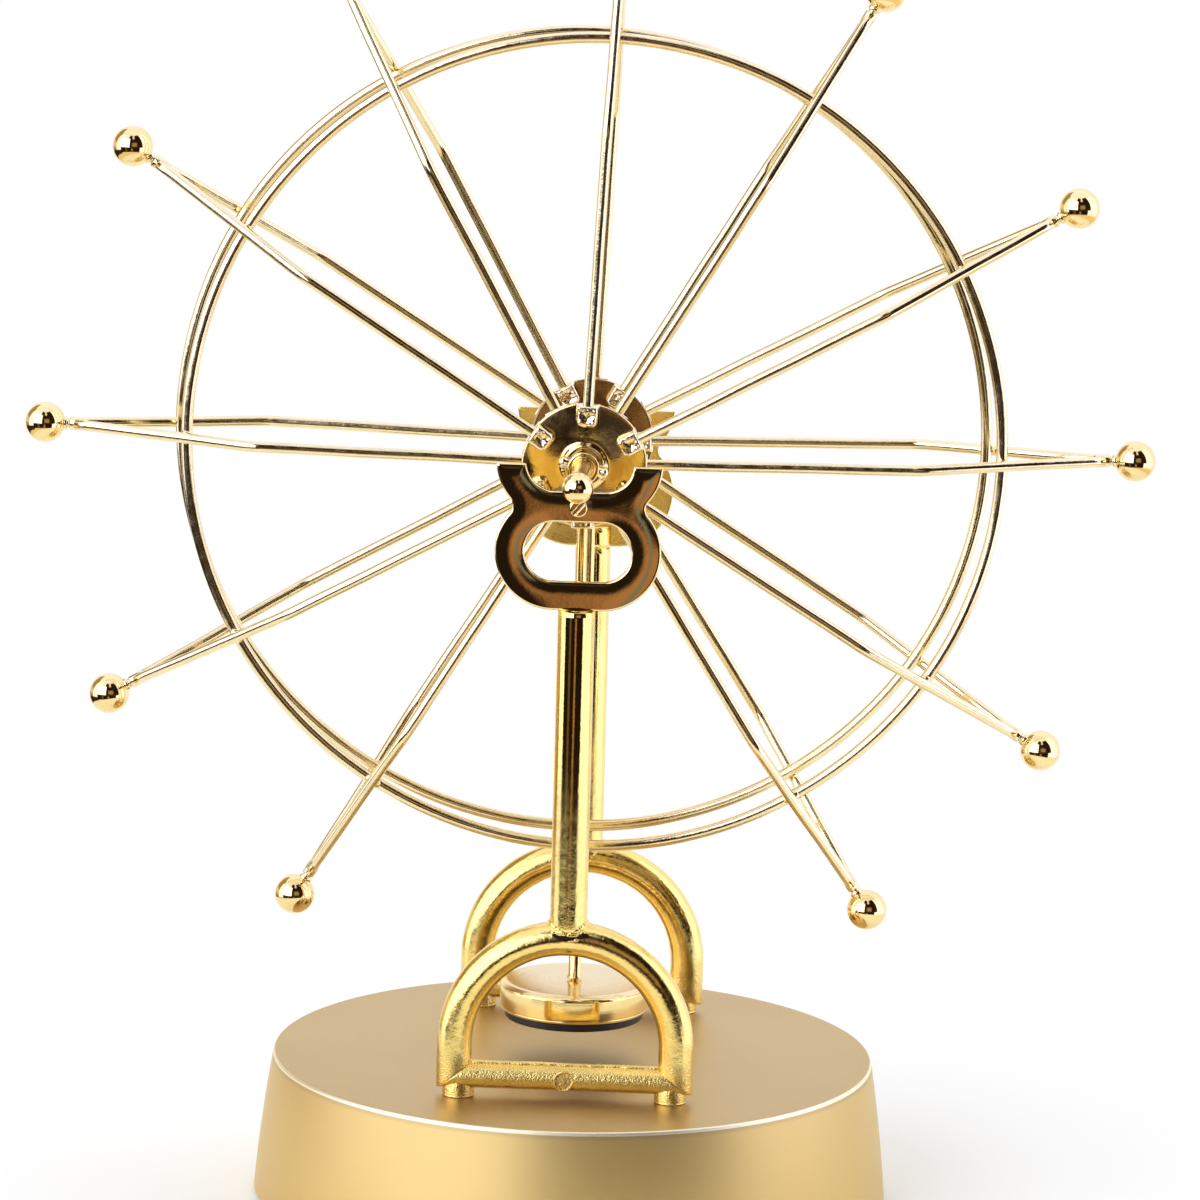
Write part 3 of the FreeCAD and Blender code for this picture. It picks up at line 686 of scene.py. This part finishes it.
def make_balls():
    """End balls, each with a small flat where it meets its neck."""
    shape = Shape()
    flat = -BALL_RADIUS * 0.965
    profile = [(flat, TIP), (flat, BALL_FLAT_RADIUS)] + ball_profile(0.0, BALL_RADIUS, 2, 32)
    for degrees in PLACES:
        if degrees != WEIGHT_ANGLE:
            outward = spoke_direction(degrees)
            shape.lathe(profile, AXLE + outward * BALL_CIRCLE, outward, 48)
    piece("round_end_balls", shape, "ball_gold", "wheel", ["end_balls"])


def ring_points(side, steps=180):
    """Centre line of a ring: off centre, and lying against the inner side of all rods of its side."""
    pitch = (RING_WIRE + ROD_RADIUS + RING_ROD_GAP) * math.hypot(1.0, ROD_SLOPE)
    points = []
    for angle in turns(steps):
        x = -side * RING_SHIFT + RING_RADIUS * math.cos(angle)
        z = RING_RISE + RING_RADIUS * math.sin(angle)
        rod_offset = DISC_OFFSET - ROD_SLOPE * (math.hypot(x, z) - KINK_RADIUS)
        points.append(Vector((x, side * (rod_offset - pitch), AXLE_HEIGHT + z)))
    return points


def make_ring(side, name):
    shape = Shape()
    shape.sweep(waver(ring_points(side), *RING_WANDER, 3.0 + side), RING_WIRE, 22, closed=True)
    piece("wire_" + name, shape, "wire_gold", "wheel", [name])


def blob(shape, centre, along, across, size, seed):
    """Small uneven bead of solder, long in one direction."""
    up = along.cross(across).normalized()
    rings = []
    for i in range(1, 9):
        turn = math.pi * i / 9
        ring = []
        for t in turns(14):
            direction = (along * math.cos(turn) * size[0]
                         + across * math.sin(turn) * math.cos(t) * size[1]
                         + up * math.sin(turn) * math.sin(t) * size[2])
            swell = 1 + 0.16 * noise.noise(direction * 1.3 + Vector((seed, seed * 2.1, 0)))
            ring.append(centre + direction * swell)
        rings.append(ring)
    shape.loft(rings)


def make_beads():
    """Solder beads where the rings lie on the rods."""
    shape = Shape()
    for side in (-1, 1):
        centre = Vector((-side * RING_SHIFT, 0, RING_RISE))
        for degrees in PLACES:
            outward = spoke_direction(degrees)
            along = outward.dot(centre)
            reach = along + math.sqrt(along * along - centre.length_squared + RING_RADIUS ** 2)
            rod_offset = DISC_OFFSET - ROD_SLOPE * (reach - KINK_RADIUS)
            contact = AXLE + outward * reach + Y * side * (rod_offset - (ROD_RADIUS + 0.1))
            tangent = outward.cross(Y)
            seed = degrees * 0.37 + side
            wide = 1.35 + 0.3 * math.sin(seed * 2.3)
            blob(shape, contact, tangent, outward, (wide, 1.0, 0.62), seed)
            blob(shape, contact, outward, tangent, (wide, 0.95, 0.55), seed + 1.7)
    piece("solder_beads", shape, "wire_gold", "wheel")


for index, degrees in enumerate(PLACES):
    if degrees != WEIGHT_ANGLE:
        make_spoke(degrees, index + 1.0)
make_balls()
make_ring(-1, "front_ring")
make_ring(1, "rear_ring")
make_beads()


# Hub

BOSS_RADIUS = 4.5
BOSS_HEIGHT = 0.6
DISC_FACE = DISC_OFFSET + DISC_THICKNESS / 2
BOSS_FACE = DISC_FACE + BOSS_HEIGHT
COLLAR_RADIUS = 3.0
COLLAR_LENGTH = 3.2
AXLE_RADIUS = 1.85
PIN_RADIUS = 0.95
PIN_REACH = 4.8
PIN_DOME = 0.8
PIN_ANGLE = -14.0
KNOB_OFFSET = 42.0
KNOB_RADIUS = 2.9
CLIP_HALF_WIDTH = 2.2
CLIP_START = 7.3
CLIP_HEIGHT = 2.7
CLIP_DIMPLE_PLACE = 9.6
CLIP_DIMPLE_RADIUS = 1.05
CLIP_DIMPLE_DEPTH = 0.42
CLIP_UNEVEN = 0.22


def make_disc(side, name):
    """Stamped hub disc: a slightly domed sheet with a raised middle."""
    shape = Shape()
    back, rim, bore = DISC_OFFSET - DISC_THICKNESS / 2, DISC_RADIUS - 0.25, AXLE_RADIUS + 0.05
    profile = [
        (back, bore), (back, rim), (back + 0.15, DISC_RADIUS),
        (DISC_FACE - 0.55, DISC_RADIUS), (DISC_FACE - 0.30, rim),
        (DISC_FACE - 0.18, 9.5), (DISC_FACE - 0.08, 7.4), (DISC_FACE - 0.02, BOSS_RADIUS + 0.8),
        (DISC_FACE + 0.04, BOSS_RADIUS), (BOSS_FACE - 0.1, BOSS_RADIUS - 0.65),
        (BOSS_FACE, BOSS_RADIUS - 0.95), (BOSS_FACE, bore),
    ]
    shape.lathe(round_profile(profile, 0.3), AXLE, Y * side, 96)
    # The inner face of the disc gets painted shade
    paint_back(piece("stamped_" + name, shape, "sheet_gold", "wheel", [name]), "shaded_disc_back", side)


def make_collar(side, name):
    """Sleeve with rounded rims and a shallow bore mouth."""
    shape = Shape()
    end = BOSS_FACE + COLLAR_LENGTH
    profile = [
        (BOSS_FACE, AXLE_RADIUS), (BOSS_FACE, COLLAR_RADIUS), (end, COLLAR_RADIUS),
        (end, AXLE_RADIUS + 0.35), (end - 0.35, AXLE_RADIUS),
    ]
    shape.lathe(round_profile(profile, 0.4, 5), AXLE, Y * side, 64)
    piece("turned_" + name, shape, "ball_gold", "wheel", [name])


def make_pin(side, name):
    """Cross pin with domed ends."""
    shape = Shape()
    centre = AXLE + Y * side * (BOSS_FACE + COLLAR_LENGTH / 2)
    shares = [i / 12 - 1 for i in range(25)]
    path = [centre + in_wheel(PIN_ANGLE) * (PIN_REACH - PIN_DOME) * share for share in shares]
    swell = [PIN_RADIUS + 0.3 * max(0.0, abs(share) - 0.8) / 0.2 for share in shares]
    shape.sweep(path, swell, 28, ends=(PIN_DOME, PIN_DOME))
    # The pin is given paler gold, a painted highlight
    piece("domed_" + name, shape, "highlight_gold", "wheel", [name])


def make_axle():
    shape = Shape()
    reach = KNOB_OFFSET - KNOB_RADIUS + 1.5
    shape.sweep([AXLE + Y * reach * (i / 10 - 1) for i in range(21)], AXLE_RADIUS, 48)
    piece("smooth_axle", shape, "axle_gold", "wheel", ["axle"])


def make_knob(side, name):
    """Ball on the end of the axle, with a small turned centre mark."""
    shape = Shape()
    mark = [(KNOB_OFFSET + KNOB_RADIUS * 0.995, 0.25), (KNOB_OFFSET + KNOB_RADIUS * 0.985, 0.03)]
    shape.lathe(ball_profile(KNOB_OFFSET, KNOB_RADIUS, 4, 30) + mark, AXLE, Y * side, 56)
    piece("turned_" + name, shape, "ball_gold", "wheel", [name])


def clip_height(nose, tail, side, centre):
    """Height of a clip over the disc: a pressed cap with round walls and a dimple in its middle.

    nose, tail and side are distances from its edges, centre the distance from its middle.
    """
    wall = 1.0
    for distance, reach in ((nose, 0.9), (tail, 0.6), (side, 0.8)):
        short = 1 - clamp(distance / reach)
        wall *= math.sqrt(1 - short * short)
    return CLIP_HEIGHT * wall - CLIP_DIMPLE_DEPTH * math.exp(-(centre / CLIP_DIMPLE_RADIUS) ** 2) * wall


def clip_half_width(along):
    """Half width of a clip, narrowing to its round nose."""
    nose = clamp((along - CLIP_START) / 1.5)
    return CLIP_HALF_WIDTH * (0.35 + 0.65 * math.sqrt(1 - (1 - nose) ** 2))


def make_clips(side, name):
    """Straps that hold the rods on the two faces of a hub disc."""
    shape = Shape()
    rows, columns = 24, 26
    for index, degrees in enumerate(PLACES):
        outward = spoke_direction(degrees)
        tangent = outward.cross(Y)
        facing = 1 if index % 2 else -1
        foot = DISC_OFFSET + facing * (DISC_THICKNESS / 2 - 0.05)
        seed = index * 1.7 + side
        top, bottom = [], []
        for i in range(rows):
            along = CLIP_START + 0.02 + (DISC_RADIUS - CLIP_START - 0.02) * i / (rows - 1)
            wide = clip_half_width(along)
            for j in range(columns):
                across = wide * math.sin(math.pi * (j / (columns - 1) - 0.5))
                height = clip_height(along - CLIP_START, DISC_RADIUS + 0.05 - along, wide - abs(across),
                                     math.hypot(along - CLIP_DIMPLE_PLACE, across))
                dent = CLIP_UNEVEN * noise.noise(Vector((along * 1.3, across * 1.3, seed * 3.1)))
                at = AXLE + outward * along + tangent * across + Y * side * foot
                top.append(at + Y * side * facing * max(0.0, height + dent * min(1.0, height)))
                bottom.append(at)
        corners = [i * columns + j for i in range(rows - 1) for j in range(columns - 1)]
        faces = [(a, a + 1, a + columns + 1, a + columns) for a in corners]
        count = rows * columns
        under = [tuple(count + k for k in face[::-1]) for face in faces]
        rim = [i * columns for i in range(rows)]
        rim += [count - columns + j for j in range(1, columns)]
        rim += [i * columns + columns - 1 for i in range(rows - 2, -1, -1)]
        rim += range(columns - 2, 0, -1)
        walls = [(a, b, count + b, count + a) for a, b in zip(rim, rim[1:] + rim[:1])]
        shape.add(top + bottom, faces + under + walls)
    # The clips are given paler gold, a painted highlight
    piece("pressed_" + name, shape, "highlight_gold", "wheel", [name])


make_axle()
for side, end in ((-1, "front_"), (1, "rear_")):
    make_disc(side, end + "hub_disc")
    make_collar(side, end + "hub_collar")
    make_pin(side, end + "cross_pin")
    make_knob(side, end + "knob")
    make_clips(side, end + "hub_clips")


# Eight-shaped plates

PLATE_OFFSET = 34.0
PLATE_THICKNESS = 1.4
LOBE_RADIUS = 5.5
LOBE_STRAIGHT = 4.4
LOBE_BAND = 5.4
WAIST_BAND = 5.7
WAIST_FILLET = 2.0
TIP_DROP = 0.6
RECESS_HEIGHT = -1.9 + LOBE_RADIUS
WINDOW_HEIGHT = RECESS_HEIGHT - 2 * LOBE_RADIUS - WAIST_BAND
WAIST_HEIGHT = (RECESS_HEIGHT + WINDOW_HEIGHT) / 2
OUTER_RADIUS = LOBE_RADIUS + LOBE_BAND
FILLET_X = LOBE_STRAIGHT + math.sqrt(
    (OUTER_RADIUS + WAIST_FILLET) ** 2 - (RECESS_HEIGHT - WAIST_HEIGHT) ** 2)
TIP_HEIGHT = RECESS_HEIGHT - TIP_DROP
PILLOW = 0.10
PILLOW_REACH = 2.7
PLATE_EDGE = 0.35
SPRING_BACK = 0.03
RIM_STEP = 0.3
RIM_INSETS = (0.06, 0.16, 0.3, 0.5, 0.85, 1.3)
GRID_STEP = 0.45
GRID_DEPTH = 1.6


def to_slot(x, z, height):
    """Distance from a point to the straight middle line of a lobe."""
    return math.hypot(max(abs(x) - LOBE_STRAIGHT, 0.0), z - height)


def outline_depth(x, z):
    """Distance inwards from the outer outline of the plate, negative outside."""
    x = abs(x)
    lower = OUTER_RADIUS - to_slot(x, z, WINDOW_HEIGHT)
    upper = OUTER_RADIUS - to_slot(x, z, RECESS_HEIGHT)
    depth = max(lower, upper)
    dx, dz = x - FILLET_X, z - WAIST_HEIGHT
    reach = (FILLET_X - LOBE_STRAIGHT) / (RECESS_HEIGHT - WAIST_HEIGHT)
    if dx < 0 and abs(dz) < -dx / reach:
        depth = math.hypot(dx, dz) - WAIST_FILLET
    return depth


def plate_depth(x, z):
    """Distance inwards from the nearest edge of the plate."""
    return min(outline_depth(x, z), TIP_HEIGHT - z,
               to_slot(x, z, WINDOW_HEIGHT) - LOBE_RADIUS, to_slot(x, z, RECESS_HEIGHT) - LOBE_RADIUS)


def plate_relief(depth):
    """How far the polished face lies behind its highest part, at a distance from the edge."""
    sunk = PILLOW * (1 - min(depth, PILLOW_REACH) / PILLOW_REACH) ** 2
    if depth < PLATE_EDGE:
        sunk += PLATE_EDGE - math.sqrt(max(0.0, PLATE_EDGE ** 2 - (PLATE_EDGE - depth) ** 2))
    return sunk


def edge_points(step):
    """Points along every edge of the plate: those of its arcs and straights that lie on the outline."""
    found = []
    for radius in (OUTER_RADIUS, LOBE_RADIUS):
        for height in (WINDOW_HEIGHT, RECESS_HEIGHT):
            count = int(2 * math.pi * radius / step)
            for i in range(count):
                t = 2 * math.pi * (i + 0.5) / count
                shift = LOBE_STRAIGHT if math.cos(t) > 0 else -LOBE_STRAIGHT
                found.append((shift + radius * math.cos(t), height + radius * math.sin(t)))
            along = int(2 * LOBE_STRAIGHT / step)
            for i in range(along + 1):
                x = -LOBE_STRAIGHT + 2 * LOBE_STRAIGHT * i / along
                found += [(x, height + radius), (x, height - radius)]
    for side in (-1, 1):
        for i in range(31):
            t = math.radians(180 - 60 + 120 * i / 30)
            x = side * (FILLET_X + WAIST_FILLET * math.cos(t))
            found.append((x, WAIST_HEIGHT + WAIST_FILLET * math.sin(t)))
        inner = LOBE_STRAIGHT + math.sqrt(LOBE_RADIUS ** 2 - TIP_DROP ** 2)
        outer = LOBE_STRAIGHT + math.sqrt(OUTER_RADIUS ** 2 - TIP_DROP ** 2)
        count = int((outer - inner) / step)
        for i in range(count + 1):
            found.append((side * (inner + (outer - inner) * i / count), TIP_HEIGHT))
    return [p for p in found if abs(plate_depth(*p)) < 0.004]


def plate_twist(x, z):
    """How far the pressing has sprung back right of the waist screw."""
    share = clamp((x - 0.6) / 2.0) * clamp((11.5 - x) / 3.0)
    rise = clamp((z - WAIST_HEIGHT) / 3.4, -1.0)
    return share * SPRING_BACK * (1.0 + math.sin(rise * math.pi / 2))


def plate_mesh():
    """Points and triangles of the flat plate, finer towards its edges."""
    rim = edge_points(RIM_STEP)
    points = [Vector(p) for p in rim]
    for inset in RIM_INSETS:
        for x, z in rim:
            e = 0.01
            slope = Vector((plate_depth(x + e, z) - plate_depth(x - e, z),
                            plate_depth(x, z + e) - plate_depth(x, z - e)))
            if slope.length < 1e-6:
                continue
            moved = Vector((x, z)) + slope.normalized() * inset
            if abs(plate_depth(*moved) - inset) < 0.02:
                points.append(moved)
    z = WINDOW_HEIGHT - OUTER_RADIUS
    row = 0
    while z < TIP_HEIGHT:
        x = -LOBE_STRAIGHT - OUTER_RADIUS + (row % 2) * GRID_STEP / 2
        while x < LOBE_STRAIGHT + OUTER_RADIUS:
            if plate_depth(x, z) > GRID_DEPTH:
                points.append(Vector((x, z)))
            x += GRID_STEP
        z += GRID_STEP * 0.87
        row += 1
    verts, _, faces, *_ = delaunay_2d_cdt(points, [], [], 0, 0.02)
    kept = []
    for face in faces:
        middle = (verts[face[0]] + verts[face[1]] + verts[face[2]]) / 3
        if plate_depth(middle.x, middle.y) > 0.012:
            kept.append(tuple(face))
    return verts, kept


def make_plate(side, name, flat):
    """Polished plate with a pillowed face and a dull back."""
    verts, faces = flat
    shape = Shape()
    face_y = PLATE_OFFSET + PLATE_THICKNESS
    front, back = [], []
    for v in verts:
        sunk = plate_relief(max(0.0, plate_depth(v.x, v.y)))
        round_off = max(0.0, sunk - PILLOW) * 0.6
        sunk += plate_twist(v.x, v.y)
        front.append(Vector((v.x, side * (face_y - sunk), AXLE_HEIGHT + v.y)))
        back.append(Vector((v.x, side * (PLATE_OFFSET + round_off), AXLE_HEIGHT + v.y)))
    count = len(verts)
    uses = {}
    for face in faces:
        for a, b in zip(face, face[1:] + face[:1]):
            uses.setdefault((min(a, b), max(a, b)), []).append((a, b))
    rim = [use[0] for use in uses.values() if len(use) == 1]
    walls = [(a, b, count + b, count + a) for a, b in rim]
    under = [tuple(count + k for k in face[::-1]) for face in faces]
    shape.add(front + back, faces + under + walls)
    made = piece("polished_" + name, shape, "plate_gold", "stand", [name])
    paint_back(made, "dull_gold", side)


flat_plate = plate_mesh()
make_plate(-1, "front_plate", flat_plate)
make_plate(1, "rear_plate", flat_plate)


# Plate screws, posts and frames

BASE_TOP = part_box("base_shell")[1].z / MM
FRAME_OFFSET = 34.0
FRAME_HALF_WIDTH = 20.7
TUBE_RADIUS = 3.3
FRAME_HEIGHT = 34.0
CROWN_HEIGHT = BASE_TOP + FRAME_HEIGHT - TUBE_RADIUS
ARCH_CENTRE = CROWN_HEIGHT - FRAME_HALF_WIDTH
FRAME_BOTTOM = BASE_TOP + 1.5
BAR_HALF_HEIGHT = 2.6
BAR_HEIGHT = FRAME_BOTTOM + BAR_HALF_HEIGHT
BAR_START = 6.0
FOOT_X = 19.8
FOOT_RADIUS = 3.0
POST_RADIUS = 3.45
POST_START = CROWN_HEIGHT - TUBE_RADIUS + 1.2
PLATE_BOTTOM = AXLE_HEIGHT + WINDOW_HEIGHT - OUTER_RADIUS
POST_TOP = PLATE_BOTTOM + LOBE_BAND - 1.2
SCREW_RADIUS = 1.75
SCREW_FLAT = 1.3
SCREW_HEIGHT = 1.1
SLOT_HALF_WIDTH = 0.35
SLOT_WALL = 0.08
SLOT_DEPTH = 0.5
SLOT_ANGLE = 50.0
SPOT_RADIUS = 1.95
FLASH_REACH = 17.2
FLASH_RADIUS = 0.40
BRAZING_BEADS = 46
PIT_BEADS = 26
FLUX_START = 3.04


def screw_height(x, z):
    """Height of the screw head over the plate, with its slot."""
    fall = max(0.0, (math.hypot(x, z) - SCREW_FLAT) / (SCREW_RADIUS - SCREW_FLAT))
    dome = SCREW_HEIGHT * math.sqrt(max(0.0, 1 - fall ** 2))
    angle = math.radians(SLOT_ANGLE)
    wall = (abs(-x * math.sin(angle) + z * math.cos(angle)) - SLOT_HALF_WIDTH) / SLOT_WALL
    return min(dome, SCREW_HEIGHT - SLOT_DEPTH * (1 - clamp(wall)))


def make_screw(side, name):
    """Round-headed slotted screw at the waist of a plate."""
    shape = Shape()
    steps = 26
    face = PLATE_OFFSET + PLATE_THICKNESS - PILLOW * 0.2
    centre = AXLE + Z * WAIST_HEIGHT
    rings = []
    for i in range(steps):
        away = SCREW_RADIUS * (1 - i / steps)
        ring = []
        for t in turns(72):
            x, z = away * math.cos(t), away * math.sin(t)
            ring.append(centre + Vector((x, side * (face + screw_height(x, z)), z)))
        rings.append(ring)
    base = [Vector((v.x, side * (face - 0.4), v.z)) for v in rings[0]]
    shape.loft([base] + rings)
    piece("slotted_" + name, shape, "ball_gold", "stand", [name])


def make_post(side, name):
    """Post with a flat at its top, where the plate lies on it."""
    shape = Shape()
    rings = []

    def ring(height, flat=-POST_RADIUS, shrink=0.0):
        """Adds a ring that is cut off at a flat."""
        radius = POST_RADIUS - shrink
        rings.append([
            Vector((radius * math.cos(t), side * (FRAME_OFFSET - max(radius * math.sin(t), flat)), height))
            for t in turns(56)
        ])

    start = CROWN_HEIGHT + 1.5
    ring(POST_START, shrink=0.6)
    for rise, shrink in ((0.0, 0.45), (0.15, 0.2), (0.5, 0.05)):
        ring(start + rise, shrink=shrink)
    for i in range(61):
        ring(start + 1.0 + (PLATE_BOTTOM - 1.15 - start) * i / 60)
    ring(PLATE_BOTTOM - 0.02, shrink=0.15)
    ring(PLATE_BOTTOM, 0.0, 0.15)
    for i in range(5):
        ring(PLATE_BOTTOM + 0.1 + (POST_TOP - 0.2 - PLATE_BOTTOM) * i / 4, 0.0)
    ring(POST_TOP, 0.0, 0.2)
    shape.loft(rings)
    piece("cast_" + name, shape, "cast_gold", "stand", [name])


def frame_rings():
    """Rings round the closed D of a frame, with a shallow groove at both mitres."""
    def ring(place, inward, half_height, slant=0.0, sunk=0.0):
        made = []
        for t in turns(44):
            c, s = math.cos(t), math.sin(t)
            at = place + inward * (half_height - sunk) * c
            made.append((at.x + slant * (TUBE_RADIUS - sunk) * c, (TUBE_RADIUS - sunk) * s, at.y))
        return made

    def bar_ring(x, rise=0.0, slant=0.0, sunk=0.0):
        return ring(Vector((x, BAR_HEIGHT + rise)), Vector((0, 1)), BAR_HALF_HEIGHT, slant, sunk)

    rings = []
    steps = 72
    for i in range(steps + 1):
        t = math.pi * (1 - i / steps)
        e = Vector((math.cos(t), math.sin(t)))
        rings.append(ring(Vector((0, ARCH_CENTRE)) + e * FRAME_HALF_WIDTH, -e, TUBE_RADIUS))
    for x, turn in ((FRAME_HALF_WIDTH, -1), (-FRAME_HALF_WIDTH, 1)):
        corner = [ring(Vector((x, ARCH_CENTRE - d)), Vector((turn, 0)), TUBE_RADIUS) for d in (1.0, 2.0, 3.0)]
        corner += [
            bar_ring(x, 0.35, turn), bar_ring(x, 0.1, turn, 0.02), bar_ring(x, 0.0, turn, 0.14),
            bar_ring(x + turn * 0.12, 0.0, turn, 0.02), bar_ring(x + turn * 0.4, 0.0, turn),
        ]
        corner += [bar_ring(x + turn * d) for d in (4.2, BAR_START)]
        if turn < 0:
            reach = FRAME_HALF_WIDTH - BAR_START
            rings += corner + [bar_ring(reach - k * 2 * reach / 24) for k in range(1, 24)]
        else:
            rings += corner[::-1]
    return rings


def swelling(point, seed):
    """Uneven surface of a casting: how far a point stands out."""
    at = point / 7.0 + Vector((seed * 3.3, seed * 1.7, seed * 5.1))
    return 0.05 * noise.noise(at) + 0.025 * noise.noise(at * 3.1)


def make_frame(side, name, seed):
    """D-shaped frame with two feet, and a spot and a line of flash on its crossbar."""
    shape = Shape()
    moved = []
    for ring in frame_rings():
        ring = [Vector(v) for v in ring]
        middle = sum(ring, Vector()) / len(ring)
        ring = [v + (v - middle).normalized() * min(0.0, swelling(v, seed) - 0.04) for v in ring]
        moved.append([Vector((v.x, side * (FRAME_OFFSET - v.y), v.z)) for v in ring])
    shape.loft(moved, closed=True)
    profile = [(0.0, CLOSED), (0.0, FOOT_RADIUS), (0.5, FOOT_RADIUS), (2.8, FOOT_RADIUS - 0.1), (3.6, CLOSED)]
    for x in (-FOOT_X, FOOT_X):
        shape.lathe(round_profile(profile, 0.25, 3), Vector((x, side * FRAME_OFFSET, BASE_TOP)), Z, 40)
    spot = Vector((0, side * (FRAME_OFFSET + TUBE_RADIUS - 0.12), BAR_HEIGHT - 0.1))
    profile = [
        (-0.6, CLOSED), (-0.6, SPOT_RADIUS), (0.06, SPOT_RADIUS), (0.13, 1.75), (0.07, 1.5), (0.05, 1.1),
        (0.08, 0.5), (0.09, CLOSED),
    ]
    shape.lathe(round_profile(profile, 0.1, 2), spot, Y * side, 40)
    flash = []
    for i in range(90):
        x = -FLASH_REACH + 2 * FLASH_REACH * i / 89
        wander = 0.9 + 0.25 * noise.noise(Vector((x * 0.45, seed * 9.1, 0)))
        flash.append(Vector((x, side * (FRAME_OFFSET + wander), BAR_HEIGHT + BAR_HALF_HEIGHT - 0.22)))
    sizes = [FLASH_RADIUS + 0.03 * noise.noise(Vector((p.x * 0.9, seed * 4.7, 2.0))) for p in flash]
    shape.sweep(flash, sizes, 10, ends=(0.2, 0.2))
    piece("cast_" + name, shape, "cast_gold", "stand", [name])


def make_crown_weld(side, name, seed):
    """Rough brazing where the post stands on the crown of the arch, with dark flux in its pits."""
    shape, dark = Shape(), Shape()
    for k in range(BRAZING_BEADS):
        t = 2 * math.pi * k / BRAZING_BEADS + 0.3 * noise.noise(Vector((k * 1.7, seed, 0)))
        x, y = POST_RADIUS * math.cos(t), POST_RADIUS * 0.93 * math.sin(t)
        radial = math.sqrt(TUBE_RADIUS ** 2 - min(abs(y), TUBE_RADIUS - 0.1) ** 2)
        height = ARCH_CENTRE + math.sqrt(max(0.0, (FRAME_HALF_WIDTH + radial) ** 2 - x * x))
        size = 0.62 + 0.12 * noise.noise(Vector((k * 2.3, seed, 4.0)))
        around = Vector((-math.sin(t), math.cos(t), 0))
        centre = Vector((x * 0.97, side * FRAME_OFFSET + y * 0.97, height - 0.1))
        outermost = side * y > FLUX_START
        blob(dark if outermost else shape, centre, around, Z, (size * 2.4, size, size * 0.8), seed + k)
    for k in range(PIT_BEADS):
        x = -2.6 + 6.4 * ((k * 0.618) % 1.0)
        drop = 0.9 + 1.9 * ((k * 0.414 + 0.2) % 1.0) * (1 - abs(x) / 6)
        height = CROWN_HEIGHT + TUBE_RADIUS - 0.6 - drop
        y = math.sqrt(max(0.0, TUBE_RADIUS ** 2 - (height - CROWN_HEIGHT) ** 2))
        size = 0.36 + 0.12 * noise.noise(Vector((k * 3.1, seed, 9.0)))
        centre = Vector((x, side * (FRAME_OFFSET + y - 0.12), height))
        pit = k % 5 in (1, 3)
        blob(dark if pit else shape, centre, X, Z, (size * 1.5, size, size * 0.7), seed + k * 1.3)
    piece("brazing_" + name, shape, "cast_gold", "stand")
    piece("flux_" + name, dark, "flux", "stand")


for side, end, seed in ((-1, "front", 1.0), (1, "rear", 6.0)):
    make_screw(side, end + "_plate_screw")
    make_post(side, end + "_post")
    make_frame(side, end + "_frame", seed)
    make_crown_weld(side, end, seed)


# Weight

WEIGHT_DROP = 102.5
WEIGHT_RADIUS = 14.25
WEIGHT_THICKNESS = 5.7
MAGNET_PROUD = 1.4
MAGNET_DEPTH = 1.8
MAGNET_RADIUS = 13.25
HANGER_RADIUS = 1.2
HANGER_RING_RADIUS = 1.48
HANGER_END_RADIUS = 0.7


def make_weight():
    """Turned weight with a bevelled shoulder, its magnet and its hanger."""
    centre = AXLE - Z * WEIGHT_DROP
    shape = Shape()
    profile = [
        (0.0, CLOSED), (0.04, 6.0), (0.0, 12.9), (0.1, 13.35), (0.6, 14.05), (0.95, WEIGHT_RADIUS),
        (WEIGHT_THICKNESS - 1.0, WEIGHT_RADIUS), (WEIGHT_THICKNESS - 0.45, WEIGHT_RADIUS - 0.15),
        (WEIGHT_THICKNESS, WEIGHT_RADIUS - 0.65), (WEIGHT_THICKNESS, CLOSED),
    ]
    shape.lathe(round_profile(profile, 0.3), centre, -Z, 128)
    piece("turned_weight_disc", shape, "brushed", "wheel", ["weight_disc"])
    shape = Shape()
    top, bottom = WEIGHT_THICKNESS - MAGNET_DEPTH, WEIGHT_THICKNESS + MAGNET_PROUD
    profile = [(top, CLOSED), (top, MAGNET_RADIUS), (bottom, MAGNET_RADIUS), (bottom, CLOSED)]
    shape.lathe(round_profile(profile, 0.35), centre, -Z, 96)
    piece("weight_magnet_disc", shape, "magnet", "wheel", ["weight_magnet"])
    shape = Shape()
    add_rods(shape, WEIGHT_ANGLE, 20.0)
    profile = [
        (NECK_START - 1.0, 0.8), (NECK_START - 0.5, HANGER_RADIUS),
        (WEIGHT_DROP - 0.80, HANGER_RADIUS + 0.02), (WEIGHT_DROP - 0.70, HANGER_RING_RADIUS - 0.03),
        (WEIGHT_DROP - 0.38, HANGER_RING_RADIUS), (WEIGHT_DROP - 0.33, HANGER_END_RADIUS),
        (WEIGHT_DROP + 1.9, HANGER_END_RADIUS),
    ]
    shape.lathe(profile, AXLE, -Z, 32)
    piece("wire_weight_hanger", shape, "hanger_gold", "wheel", ["weight_hanger"])


make_weight()
